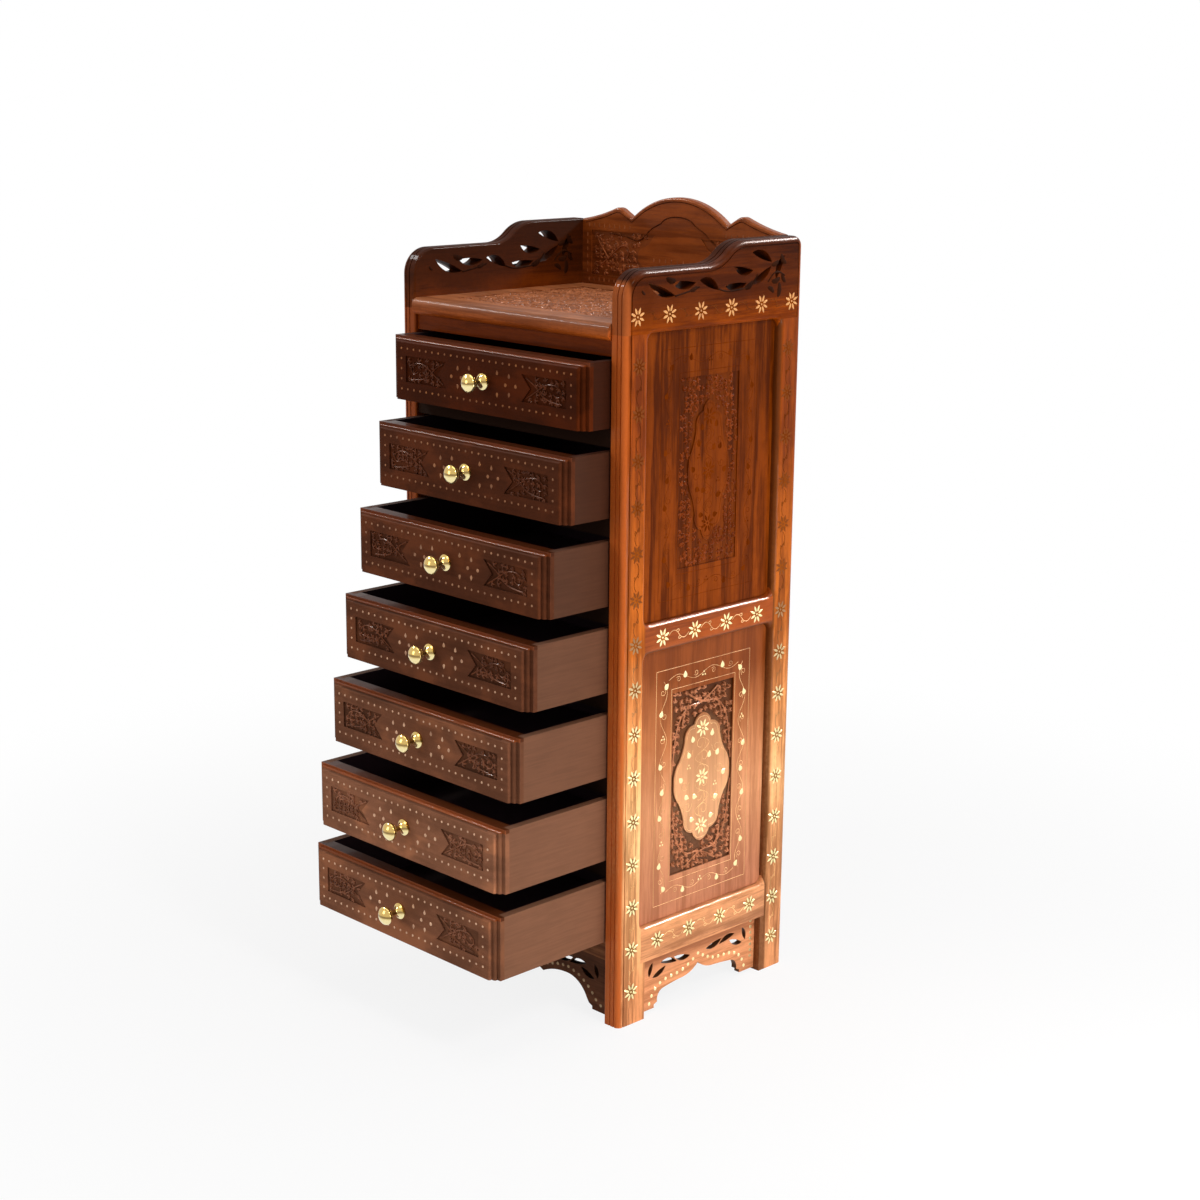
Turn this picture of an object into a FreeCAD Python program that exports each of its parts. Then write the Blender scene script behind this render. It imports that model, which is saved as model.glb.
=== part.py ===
import FreeCAD, Part
import math
import os

# Tall chest of seven drawers in carved and inlaid hardwood, in millimetres.
# X runs to the right as seen from the front, the front faces -Y and Z is up.
# The origin is on the floor, in the middle of the four posts.

Vector = FreeCAD.Vector

# Overall case
case_width = 381.0
case_depth = 290.0
case_height = 940.0
post_thickness = 24.0
post_width = 36.0
crest_rise = 128.0

# Slack round tenons and tongues, and under a drawer that rests on its runners
fit_gap = 0.2
running_gap = 0.3

# How far a cutting shape stands out of the wood
overrun = 1.0

# Reeded edge that runs up the front posts and over the gallery boards
edge_radius = 7.0
inner_edge_radius = 2.5
reed_width = 9.0
quirk_width = 1.6
quirk_depth = 1.2

# Side frames: rails, the rounded openings between them and the joinery
bottom_rail_base = 72.0
bottom_rail_height = 42.0
middle_rail_base = 447.0
middle_rail_height = 34.0
opening_corner_radius = 9.0
opening_edge_radius = 6.0
rail_tenon_length = 14.0
rail_tenon_thickness = 8.0
rail_tenon_shoulder = 8.0
post_tenon_height = 12.0
post_tenon_margin = 8.0

# Side panels, tongued into the frames
panel_recess = 9.0
panel_thickness = 10.0
panel_tongue = 6.0
panel_tongue_thickness = 6.0
panel_gap = 0.6
lower_field_side = 56.5
lower_field_end = 54.0
lower_field_drop = 4.0
lower_field_depth = 3.0
lower_medallion_side = 4.5
lower_medallion_end = 32.5
upper_field_side = 60.0
upper_field_end = 55.5
upper_field_drop = 0.0
upper_field_depth = 1.5
upper_medallion_side = 15.0
upper_medallion_end = 28.0

# Gallery boards beside the top
gallery_low_height = 70.0
gallery_high_height = 94.0
gallery_front_radius = 31.0
gallery_back_radius = 12.0
gallery_scroll_centre = 15.0
gallery_scroll_run = 64.0

# Back gallery, with its dome between two lobes
crest_thickness = 12.0
crest_notch_share = 0.48
crest_notch_drop = 29.0
crest_lobe_share = 0.625
crest_lobe_drop = 17.5
crest_lobe_radius = 14.0
crest_end_drop = 34.0
crest_slope_lean = 6.0
crest_edge_radius = 3.0
crest_notch_radius = 4.0
crest_tongue = 5.0
crest_tongue_thickness = 6.0
crest_field_height = 56.0
crest_field_base = 12.0
crest_field_margin = 16.0
crest_field_depth = 1.5
crest_medallion_share = 0.41
crest_medallion_height = 76.0

# Top board
top_thickness = 20.0
top_stand_up = 12.5
nosing_overhang = 5.0
nosing_radius = 9.0
top_tongue = 4.0
top_tongue_thickness = 6.0
top_tongue_drop = 3.5
top_tongue_setback = 20.0
top_field_margin = 34.0
top_field_depth = 1.2

# Front rails
front_rail_setback = 4.0
frieze_height = 17.5
frieze_depth = 22.0
divider_height = 22.0
divider_depth = 30.0
base_rail_bottom = 77.6
base_rail_height = 24.0
front_tenon_length = 7.0
front_tenon_thickness = 10.0
front_tenon_shoulder = 4.0

# Feet of the posts, broader than the posts along the sides
foot_swell = 7.0

# Aprons under the rails, let into grooves in the rails and posts
apron_thickness = 8.0
side_apron_recess = 9.0
front_apron_recess = 13.0
apron_tongue = 6.0
apron_floor_gap = 3.0
apron_foot_width = 33.0
apron_foot_height = 7.0
apron_ledge_width = 5.5
apron_ledge_height = 9.5
side_arch_peak = 39.4
side_arch_shoulder = 28.0
side_arch_shoulder_half = 27.0
side_arch_haunch = 24.0
side_arch_haunch_inset = 8.5
front_arch_peak = 37.0
front_arch_cusp = 25.5
front_arch_cusp_half = 48.0
front_arch_lobe = 36.0
front_arch_lobe_half = 88.0
front_arch_spring = 15.0
front_arch_spring_inset = 4.0

# Back
back_panel_thickness = 6.0
back_panel_setback = 5.0
back_panel_tongue = 6.0
back_rail_thickness = 18.0

# Drawers
drawer_count = 7
drawer_pulls = [23.0, 49.7, 80.4, 104.9, 125.2, 146.4, 154.1]
drawer_side_gap = 1.0
drawer_play = 4.0
drawer_proud = 8.0
drawer_stop_gap = 1.0
front_thickness = 16.0
front_moulding_width = 10.0
front_moulding_depth = 8.0
front_moulding_drop = 5.0
front_bead_width = 5.0
front_bead_drop = 2.5
front_bead_radius = 2.5
front_lap = 6.0
side_thickness = 10.0
back_thickness = 10.0
back_drop = 4.0
back_housing = 4.0
bottom_thickness = 4.0
bottom_lift = 8.0
bottom_groove = 5.0
runner_width = 14.0
runner_height = 12.0
end_field_length = 73.0
end_field_height = 31.0
end_field_notch = 14.0
end_field_margin = 18.0
end_field_depth = 2.0

# Turned brass knob and its screw
knob_base_radius = 9.5
knob_base_rim = 1.6
knob_neck_radius = 3.4
knob_neck_start = 8.5
knob_head_radius = 11.0
knob_head_centre = 22.0
knob_head_half = 7.0
knob_rim_radius = 4.2
screw_radius = 2.0
screw_gap = 0.3
screw_bite = 12.0
screw_head_radius = 4.5
screw_head_height = 2.5

# Places that follow from the sizes above
half_width = case_width / 2
half_depth = case_depth / 2
inner_half = half_width - post_thickness
post_height = case_height - crest_rise
crest_notch_half = crest_notch_share * inner_half
crest_lobe_half = crest_lobe_share * inner_half
post_inner_y = half_depth - post_width
foot_inner_y = post_inner_y - foot_swell
top_surface = post_height + top_stand_up
top_underside = top_surface - top_thickness
frieze_bottom = top_underside - frieze_height
base_rail_top = base_rail_bottom + base_rail_height
front_rail_y = -half_depth + front_rail_setback
back_panel_y = half_depth - back_panel_setback - back_panel_thickness
bottom_rail_top = bottom_rail_base + bottom_rail_height
middle_rail_top = middle_rail_base + middle_rail_height
panel_outer_x = half_width - panel_recess
panel_inner_x = panel_outer_x - panel_thickness
post_middle_x = half_width - post_thickness / 2
slot_height = (frieze_bottom - base_rail_top - (drawer_count - 1) * divider_height) / drawer_count
drawer_pitch = slot_height + divider_height
drawer_height = slot_height - drawer_play
drawer_half = inner_half - drawer_side_gap


# Small tools for flat outlines and blocks

def in_yz(x):
    """Place flat points on a plane that faces X."""
    return lambda y, z: Vector(x, y, z)


def in_xz(y):
    """Place flat points on a plane that faces Y."""
    return lambda x, z: Vector(x, y, z)


def block(x0, x1, y0, y1, z0, z1):
    """A box between two corners."""
    return Part.makeBox(x1 - x0, y1 - y0, z1 - z0, Vector(x0, y0, z0))


def face_of(place, start, *steps):
    """A flat face: a step is the next point, or a point to pass in an arc and then the next point."""
    edges = []
    first = place(*start)
    here = first
    for step in steps + (start,):
        there = place(*step[-2:])
        if here.isEqual(there, 1e-6):
            continue
        if len(step) == 4:
            edges.append(Part.Arc(here, place(*step[:2]), there).toShape())
        else:
            edges.append(Part.LineSegment(here, there).toShape())
        here = there
    return Part.Face(Part.Wire(edges))


def corner_arc(centre_u, centre_v, radius, start_angle, end_angle):
    """Arc step round a centre, with angles in degrees."""
    middle = math.radians((start_angle + end_angle) / 2)
    end = math.radians(end_angle)
    return (centre_u + radius * math.cos(middle), centre_v + radius * math.sin(middle),
            centre_u + radius * math.cos(end), centre_v + radius * math.sin(end))


def rounded_rectangle(place, u0, u1, v0, v1, radius):
    """A rectangle with round corners."""
    return face_of(place, (u0 + radius, v0), (u1 - radius, v0),
                   corner_arc(u1 - radius, v0 + radius, radius, -90, 0), (u1, v1 - radius),
                   corner_arc(u1 - radius, v1 - radius, radius, 0, 90), (u0 + radius, v1),
                   corner_arc(u0 + radius, v1 - radius, radius, 90, 180), (u0, v0 + radius),
                   corner_arc(u0 + radius, v0 + radius, radius, 180, 270))


def ogee(u0, v0, u1, v1):
    """Two arc steps that climb from one level to another and start and end level."""
    run = u1 - u0
    rise = v1 - v0
    radius = (run * run + rise * rise) / (4 * rise)
    turn = 2 * math.degrees(math.atan2(rise, run))
    return (corner_arc(u0, v0 + radius, radius, -90, -90 + turn),
            corner_arc(u1, v1 - radius, radius, 90 + turn, 90))


def walked_back(start, steps, sign_u, sign_v):
    """A run of steps walked back to its start, on the other side of an axis."""
    ends = [start] + [step[-2:] for step in steps[:-1]]
    back = []
    for step, end in zip(reversed(steps), reversed(ends)):
        values = step[:-2] + end
        back.append(tuple(value * sign for value, sign in zip(values, (sign_u, sign_v) * 2)))
    return back


def leaving_arc(u0, v0, angle, u1, v1):
    """Arc step that leaves a point at an angle in degrees and ends at another point."""
    run = u1 - u0
    rise = v1 - v0
    lean = math.radians(angle) - math.atan2(rise, run)
    bulge = math.tan(lean / 2) / 2
    return (u0 + run / 2 - rise * bulge, v0 + rise / 2 + run * bulge, u1, v1)


def tangent_turn(centre_u, centre_v, radius, u, v, side):
    """Angle on a circle, in degrees, at which a line from a point outside touches it."""
    away = math.atan2(v - centre_v, u - centre_u)
    return math.degrees(away + side * math.acos(radius / math.hypot(u - centre_u, v - centre_v)))


def medallion(place, centre_u, centre_v, width, height):
    """A scalloped medallion: in each quarter a crown lobe, a shoulder, a hollow flank and a side lobe."""
    def at(u, v):
        return place(centre_u + u * width / 2, centre_v + v * height / 2)
    top = (0.0, 1.0)
    quarter = [(0.18, 0.95, 0.30, 0.84), (0.52, 0.79, 0.63, 0.62),
               (0.70, 0.47, 0.82, 0.32), (0.96, 0.18, 1.0, 0.0)]
    right = quarter + walked_back(top, quarter, 1, -1)
    return face_of(at, top, *right, *walked_back(top, right, -1, 1))


def leaf(place, centre_u, centre_v, length, width, angle, bend=0.0):
    """A pointed leaf between two arcs, turned by an angle in degrees and bent to one side."""
    along = Vector(math.cos(math.radians(angle)), math.sin(math.radians(angle)), 0)
    across = Vector(-along.y, along.x, 0)
    tip, root = along * (length / 2), along * (-length / 2)
    near, far = across * (bend + width / 2), across * (bend - width / 2)
    at = [(centre_u + point.x, centre_v + point.y) for point in (root, near, tip, far)]
    return face_of(place, at[0], at[1] + at[2], at[3] + at[0])


def mirrored(shape):
    """The same piece on the other side of the chest."""
    return shape.mirror(Vector(0, 0, 0), Vector(1, 0, 0))


def edges_where(shape, test):
    """The edges whose every vertex passes a test."""
    return [edge for edge in shape.Edges if all(test(vertex.Point) for vertex in edge.Vertexes)]


def near(a, b):
    """Whether two places are the same to a hundredth."""
    return abs(a - b) < 0.01


def export(name, *shapes):
    """Write one node, a single solid or a group of separate ones."""
    solid = shapes[0] if len(shapes) == 1 else Part.makeCompound(list(shapes))
    solid.exportStep("parts/%s.step" % name)


# Side frames, made for the right-hand side

def panel_space(base, top, slack):
    """Room for a side panel's tongue, which runs into the frame all round."""
    reach = panel_tongue + slack
    return block(panel_inner_x - slack, panel_inner_x + panel_tongue_thickness + slack,
                 -post_inner_y - reach, post_inner_y + reach, base - reach, top + reach)


def routed_side():
    """A slab with both side openings, whose outer edges are rounded over all round."""
    margin = post_thickness
    slab = block(inner_half - margin, half_width, -case_depth, case_depth, -margin, 2 * case_height)
    for base, top in side_openings:
        opening = rounded_rectangle(in_yz(inner_half - margin), -post_inner_y, post_inner_y, base, top,
                                    opening_corner_radius)
        slab = slab.cut(opening.extrude(Vector(2 * margin, 0, 0)))
    rim = edges_where(slab, lambda p: near(p.x, half_width) and abs(p.y) < post_inner_y + 1)
    return slab.makeFillet(opening_edge_radius, rim)


def corner_blocks(level, direction):
    """Wood left in the corners of an opening, which the round corners are cut from."""
    blocks = []
    for side in (-1, 1):
        y0, y1 = sorted((side * post_inner_y, side * (post_inner_y - opening_corner_radius)))
        z0, z1 = sorted((level, level + direction * opening_corner_radius))
        blocks.append(block(inner_half, half_width, y0, y1, z0, z1))
    return blocks


def rail_tenons(base, height, slack):
    """The two tenons of a side rail, or with slack their mortises."""
    tenons = []
    for side in (-1, 1):
        y0, y1 = sorted((side * (post_inner_y - slack), side * (post_inner_y + rail_tenon_length + slack)))
        tenons.append(block(post_middle_x - rail_tenon_thickness / 2 - slack,
                            post_middle_x + rail_tenon_thickness / 2 + slack, y0, y1,
                            base + rail_tenon_shoulder - slack, base + height - rail_tenon_shoulder + slack))
    return tenons


def side_rail(base, height, levels):
    """A side rail with its tenons, panel grooves and rounded corners."""
    rail = block(inner_half, half_width, -post_inner_y, post_inner_y, base, base + height)
    corners = [piece for level, direction in levels for piece in corner_blocks(level, direction)]
    rail = rail.multiFuse(corners).removeSplitter()
    rail = rail.cut([panel_space(low, high, fit_gap) for low, high in side_openings])
    return rail.common(routed_plate).multiFuse(rail_tenons(base, height, 0.0)).removeSplitter()


def post_tenon(side, slack):
    """Stub tenon on top of a post, or with slack its mortise in the gallery board."""
    centre = side * (half_depth - post_width / 2)
    half_length = post_width / 2 - post_tenon_margin
    return block(post_middle_x - rail_tenon_thickness / 2 - slack,
                 post_middle_x + rail_tenon_thickness / 2 + slack,
                 centre - half_length - slack, centre + half_length + slack,
                 post_height, post_height + post_tenon_height + slack)


def post(side):
    """A post on the right, at the front for side -1 and at the back for side 1."""
    y0, y1 = sorted((side * post_inner_y, side * half_depth))
    foot_y0, foot_y1 = sorted((side * foot_inner_y, side * half_depth))
    foot = block(inner_half, half_width, foot_y0, foot_y1, 0.0, bottom_rail_base)
    solid = block(inner_half, half_width, y0, y1, 0.0, post_height).fuse(foot).removeSplitter()
    outer = edges_where(solid, lambda p: near(p.x, half_width) and near(p.y, side * half_depth))
    solid = solid.makeFillet(edge_radius, outer)
    if side < 0:
        inner = edges_where(solid, lambda p: near(p.x, inner_half) and near(p.y, -half_depth))
        solid = solid.makeFillet(inner_edge_radius, inner)
        for x0 in (inner_half + reed_width, half_width - edge_radius - quirk_width):
            solid = solid.cut(block(x0, x0 + quirk_width, y0, y0 + quirk_depth, 0.0, post_height))
        side_quirk = -half_depth + edge_radius
        solid = solid.cut(block(half_width - quirk_depth, half_width, side_quirk, side_quirk + quirk_width,
                                0.0, post_height))
    solid = solid.common(routed_plate)
    spaces = [panel_space(low, high, fit_gap) for low, high in side_openings]
    spaces += rail_tenons(bottom_rail_base, bottom_rail_height, fit_gap)
    spaces += rail_tenons(middle_rail_base, middle_rail_height, fit_gap)
    spaces.append(side_apron_blank(fit_gap))
    if side < 0:
        spaces += [front_tenons(bottom, height, fit_gap) for bottom, height in front_rails]
        spaces.append(front_apron_blank(fit_gap))
    else:
        spaces.append(back_rail_tenons(fit_gap))
        spaces.append(back_panel_blank(fit_gap))
    return solid.cut(spaces).fuse(post_tenon(side, 0.0)).removeSplitter()


def side_panel(base, top, field_side, field_end, drop, field_depth, island_side, island_end):
    """A side panel with its tongue and a carved field sunk round a raised medallion."""
    board = rounded_rectangle(in_yz(panel_inner_x), -post_inner_y + panel_gap, post_inner_y - panel_gap,
                              base + panel_gap, top - panel_gap, opening_corner_radius)
    panel = board.extrude(Vector(panel_thickness, 0, 0)).fuse(panel_space(base, top, 0.0)).removeSplitter()
    floor = panel_outer_x - field_depth
    half_field = post_inner_y - field_side
    low = base + field_end - drop
    high = top - field_end - drop
    field = block(floor, panel_outer_x + overrun, -half_field, half_field, low, high)
    island = medallion(in_yz(floor), 0.0, (low + high) / 2, 2 * (half_field - island_side),
                       high - low - 2 * island_end)
    return panel.cut(field.cut(island.extrude(Vector(field_depth + overrun, 0, 0))))


# Gallery boards

def gallery_outline(x, skirt):
    """Side view of a gallery board, with a skirt below the joint for the edge cuts."""
    low = post_height + gallery_low_height
    high = post_height + gallery_high_height
    front = gallery_front_radius
    back = gallery_back_radius
    scroll_start = gallery_scroll_centre - gallery_scroll_run / 2
    scroll_end = gallery_scroll_centre + gallery_scroll_run / 2
    return face_of(in_yz(x), (-half_depth, post_height - skirt), (-half_depth, low - front),
                   corner_arc(-half_depth + front, low - front, front, 180, 90), (scroll_start, low),
                   *ogee(scroll_start, low, scroll_end, high), (half_depth - back, high),
                   corner_arc(half_depth - back, high - back, back, 90, 0), (half_depth, post_height - skirt))


def edge_ring(x0, x1, start, width):
    """A band that follows the gallery outline inside its edge."""
    outline = gallery_outline(x0, 2 * post_width)
    outer = outline.makeOffset2D(-start) if start else outline
    band = outer.cut(outline.makeOffset2D(-start - width))
    return band.extrude(Vector(x1 - x0, 0, 0))


def gallery_leaves():
    """Pierced leaves of the gallery: middle along Y, height over the joint, length, width, turn and bend."""
    rows = ((-91.0, 47.5, 46.0, 10.0, -21.0, -3.0), (-56.0, 52.5, 38.0, 9.5, -3.0, -3.0),
            (-15.0, 47.0, 34.0, 10.5, -22.0, 3.0), (29.0, 45.0, 36.0, 9.5, 1.0, -3.0),
            (42.0, 62.0, 33.0, 9.5, -10.0, -3.0), (73.0, 73.0, 36.0, 10.0, -20.0, 3.0),
            (72.0, 53.0, 40.0, 9.0, 28.0, -2.5), (105.0, 60.0, 30.0, 9.0, 62.0, 2.5))
    across = Vector(post_thickness + 2 * overrun, 0, 0)
    return [leaf(in_yz(inner_half - overrun), y, post_height + up, length, width, turn, bend).extrude(across)
            for y, up, length, width, turn, bend in rows]


def gallery():
    """The right gallery board: scrolled, moulded along its edge and pierced."""
    board = gallery_outline(inner_half, 0.0).extrude(Vector(post_thickness, 0, 0))
    for x, radius in ((half_width, edge_radius), (inner_half, inner_edge_radius)):
        rim = [edge for edge in edges_where(board, lambda p: near(p.x, x))
               if edge.BoundBox.ZMax > post_height + 1]
        board = board.makeFillet(radius, rim)
    for x0 in (inner_half + reed_width, half_width - edge_radius - quirk_width):
        board = board.cut(edge_ring(x0, x0 + quirk_width, 0.0, quirk_depth))
    board = board.cut(edge_ring(half_width - quirk_depth, half_width + overrun, edge_radius, quirk_width))
    corners = corner_blocks(post_height, -1)
    board = board.multiFuse(corners).removeSplitter().common(routed_plate)
    spaces = gallery_leaves() + [post_tenon(-1, fit_gap), post_tenon(1, fit_gap)]
    spaces += [panel_space(low, high, fit_gap) for low, high in side_openings]
    spaces += [top_tongues(fit_gap), crest_tongues(fit_gap)]
    return board.cut(spaces)


# Top board and back gallery

def top_tongues(slack):
    """The tongues along both ends of the top board, or with slack their grooves."""
    reach = inner_half + top_tongue + slack
    z1 = top_surface - top_tongue_drop
    return block(-reach, reach, -half_depth + top_tongue_setback - slack,
                 half_depth - crest_thickness - top_tongue_setback + slack,
                 z1 - top_tongue_thickness - slack, z1 + slack)


def top_board():
    """The top board with its rounded nosing, sunk field and end tongues."""
    front = -half_depth - nosing_overhang
    back = half_depth - crest_thickness
    board = block(-inner_half, inner_half, front, back, top_underside, top_surface)
    nosing = [edge for edge in board.Edges if on_one_face(edge, front) and near(edge.Length, 2 * inner_half)]
    board = board.makeFillet(nosing_radius, nosing)
    field = block(-inner_half + top_field_margin, inner_half - top_field_margin,
                  -half_depth + top_field_margin, back - top_field_margin,
                  top_surface - top_field_depth, top_surface + overrun)
    return board.cut(field).fuse(top_tongues(0.0)).removeSplitter()


def crest_tongues(slack):
    """The upright tongues at both ends of the back gallery, or with slack their grooves."""
    reach = inner_half + crest_tongue + slack
    y0 = half_depth - (crest_thickness + crest_tongue_thickness) / 2
    low = post_height + crest_tongue_thickness
    high = post_height + gallery_high_height - gallery_back_radius - crest_tongue_thickness
    return block(-reach, reach, y0 - slack, y0 + crest_tongue_thickness + slack, low - slack, high + slack)


def crest():
    """The back gallery: a dome between two lobes, with carved fields beside a medallion."""
    front = half_depth - crest_thickness
    notch = case_height - crest_notch_drop
    end = case_height - crest_end_drop
    dome_radius = (crest_notch_half ** 2 + crest_notch_drop ** 2) / (2 * crest_notch_drop)
    dome_turn = 90 - math.degrees(math.asin(crest_notch_half / dome_radius))
    lobe = (crest_lobe_half, case_height - crest_lobe_drop - crest_lobe_radius, crest_lobe_radius)
    inner_turn = tangent_turn(*lobe, crest_notch_half, notch, -1)
    outer_turn = tangent_turn(*lobe, inner_half, end, 1) - crest_slope_lean
    lobe_start = corner_arc(*lobe, inner_turn, inner_turn)[2:]
    lobe_arc = corner_arc(*lobe, inner_turn, outer_turn)
    right = [corner_arc(0.0, case_height - dome_radius, dome_radius, 90, dome_turn), lobe_start, lobe_arc,
             leaving_arc(*lobe_arc[2:], outer_turn - 90, inner_half, end), (inner_half, top_underside)]
    top = (0.0, case_height)
    left = walked_back(top, right, -1, 1)
    outline = face_of(in_xz(front), top, *right, (-inner_half, top_underside), *left)
    board = outline.extrude(Vector(0, crest_thickness, 0))
    creases = edges_where(board, lambda p: near(abs(p.x), crest_notch_half) and near(p.z, notch))
    creases = [edge for edge in creases if near(edge.Length, crest_thickness)]
    board = board.makeFillet(crest_notch_radius, creases)
    rims = [edge for edge in board.Edges if on_one_face(edge, front) and edge.BoundBox.ZMin > end - 1]
    rims += [edge for edge in board.Edges if on_one_face(edge, half_depth) and edge.BoundBox.ZMin > end - 1]
    board = board.makeFillet(crest_edge_radius, rims)
    base = top_surface + crest_field_base
    field = block(-inner_half + crest_field_margin, inner_half - crest_field_margin,
                  front - overrun, front + crest_field_depth, base, base + crest_field_height)
    island = medallion(in_xz(front - overrun), 0.0, base + crest_field_height / 2,
                       2 * crest_medallion_share * inner_half, crest_medallion_height)
    board = board.cut(field.cut(island.extrude(Vector(0, crest_field_depth + overrun, 0))))
    return board.cut(back_panel_blank(fit_gap)).fuse(crest_tongues(0.0)).removeSplitter()


def on_one_face(edge, y):
    """Whether an edge lies flat in a plane that faces Y."""
    return near(edge.BoundBox.YMin, y) and near(edge.BoundBox.YMax, y)


# Front rails, aprons and back

def front_tenons(bottom, height, slack):
    """The tenons at both ends of a front rail, or with slack their mortises."""
    reach = inner_half + front_tenon_length + slack
    middle = front_rail_y + frieze_depth / 2
    half_thickness = front_tenon_thickness / 2 + slack
    return block(-reach, reach, middle - half_thickness, middle + half_thickness,
                 bottom + front_tenon_shoulder - slack, bottom + height - front_tenon_shoulder + slack)


def front_rail(bottom, height, depth):
    """A rail across the front between the posts."""
    rail = block(-inner_half, inner_half, front_rail_y, front_rail_y + depth, bottom, bottom + height)
    return rail.fuse(front_tenons(bottom, height, 0.0)).removeSplitter()


def side_apron_blank(slack):
    """The space of a side apron before its lower edge is shaped."""
    outer = half_width - side_apron_recess
    reach = foot_inner_y + apron_tongue + slack
    return block(outer - apron_thickness - slack, outer + slack, -reach, reach,
                 apron_floor_gap - slack, bottom_rail_base + apron_tongue + slack)


def front_apron_blank(slack):
    """The space of the front apron before its lower edge is shaped."""
    outer = -half_depth + front_apron_recess
    reach = inner_half + apron_tongue + slack
    return block(-reach, reach, outer - slack, outer + apron_thickness + slack,
                 apron_floor_gap - slack, base_rail_bottom + apron_tongue + slack)


def apron_leaves(place, half_length):
    """Pierced leaves at both ends of an apron: distance from the end, height, length, width, turn and bend."""
    rows = ((27.0, 53.0, 18.0, 6.5, 72.0, 1.0), (41.0, 47.0, 25.0, 7.0, 22.0, -1.5),
            (57.5, 54.6, 29.0, 7.0, -12.0, 2.0), (81.0, 55.7, 29.0, 7.5, -12.0, -2.0))
    faces = []
    for inset, level, length, width, turn, bend in rows:
        for side in (-1, 1):
            faces.append(leaf(place, side * (half_length - inset), level, length, width, -side * turn, bend))
    return faces


def apron_foot(half_length):
    """The last steps of an arch on the right: a ledge, the foot's inner side and its sole."""
    foot = half_length - apron_foot_width
    ledge = foot - apron_ledge_width
    return [(ledge, apron_ledge_height), (foot, apron_foot_height), (foot, apron_floor_gap - overrun)]


def arched(place, start, steps):
    """The space under an apron, drawn from its middle to the foot on the right and mirrored."""
    foot, sole = steps[-1]
    return face_of(place, start, *steps, (-foot, sole), *walked_back(start, steps, -1, 1))


def side_apron():
    """The right side apron: a pointed arch with flat haunches, and pierced leaves."""
    x0 = half_width - side_apron_recess - apron_thickness - overrun
    across = Vector(apron_thickness + 2 * overrun, 0, 0)
    foot = apron_foot(post_inner_y)
    ledge = foot[0][0]
    haunch = ledge - side_arch_haunch_inset
    shoulder = side_arch_shoulder_half
    steps = [(shoulder * 0.4, side_arch_shoulder + (side_arch_peak - side_arch_shoulder) * 0.35,
              shoulder, side_arch_shoulder),
             ((shoulder + haunch) / 2, side_arch_shoulder - 1.5, haunch, side_arch_haunch),
             (ledge - 1.8, (apron_ledge_height + side_arch_haunch) / 2 + 2, *foot[0])] + foot[1:]
    cuts = [arched(in_yz(x0), (0.0, side_arch_peak), steps)] + apron_leaves(in_yz(x0), post_inner_y)
    return side_apron_blank(0.0).cut([face.extrude(across) for face in cuts])


def front_apron():
    """The front apron: three round lobes between cusps, and pierced leaves."""
    y0 = -half_depth + front_apron_recess - overrun
    across = Vector(0, apron_thickness + 2 * overrun, 0)
    foot = apron_foot(inner_half)
    spring = foot[0][0] - front_arch_spring_inset
    cusp = front_arch_cusp_half
    lobe = front_arch_lobe_half
    lobe_rise = front_arch_lobe - front_arch_cusp
    steps = [(cusp / 2, front_arch_peak - (front_arch_peak - front_arch_cusp) / 4, cusp, front_arch_cusp),
             ((cusp + lobe) / 2, front_arch_lobe - lobe_rise / 4, lobe, front_arch_lobe),
             (lobe + (spring - lobe) * 0.6, front_arch_lobe - (front_arch_lobe - front_arch_spring) * 0.25,
              spring, front_arch_spring)] + foot
    cuts = [arched(in_xz(y0), (0.0, front_arch_peak), steps)] + apron_leaves(in_xz(y0), inner_half)
    return front_apron_blank(0.0).cut([face.extrude(across) for face in cuts])


def back_rail_tenons(slack):
    """The tenons of the back rail, or with slack their mortises."""
    reach = inner_half + front_tenon_length + slack
    y1 = half_depth - front_tenon_shoulder
    z1 = base_rail_top - back_panel_tongue - front_tenon_shoulder / 2
    return block(-reach, reach, y1 - front_tenon_thickness - slack, y1 + slack,
                 base_rail_bottom + front_tenon_shoulder - slack, z1 + slack)


def back_panel_blank(slack):
    """The back panel, or with slack the grooves that hold it."""
    reach = inner_half + back_panel_tongue + slack
    return block(-reach, reach, back_panel_y - slack, back_panel_y + back_panel_thickness + slack,
                 base_rail_top - back_panel_tongue - slack, top_underside + back_panel_tongue + slack)


def back_rail():
    """The rail across the back under the back panel."""
    rail = block(-inner_half, inner_half, half_depth - back_rail_thickness, half_depth,
                 base_rail_bottom, base_rail_top)
    return rail.cut(back_panel_blank(fit_gap)).fuse(back_rail_tenons(0.0)).removeSplitter()


def runners():
    """A pair of runners under each drawer, from the front rail to the back rail."""
    strips = []
    for index in range(drawer_count):
        top = slot_bottom(index)
        strip = block(inner_half - runner_width, inner_half, front_rail_y + divider_depth,
                      half_depth - back_rail_thickness, top - runner_height, top)
        strips += [strip, mirrored(strip)]
    return strips


# Drawers

def slot_bottom(index):
    """Height of the runners of a drawer, counted from the top."""
    return frieze_bottom - slot_height - index * drawer_pitch


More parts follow.
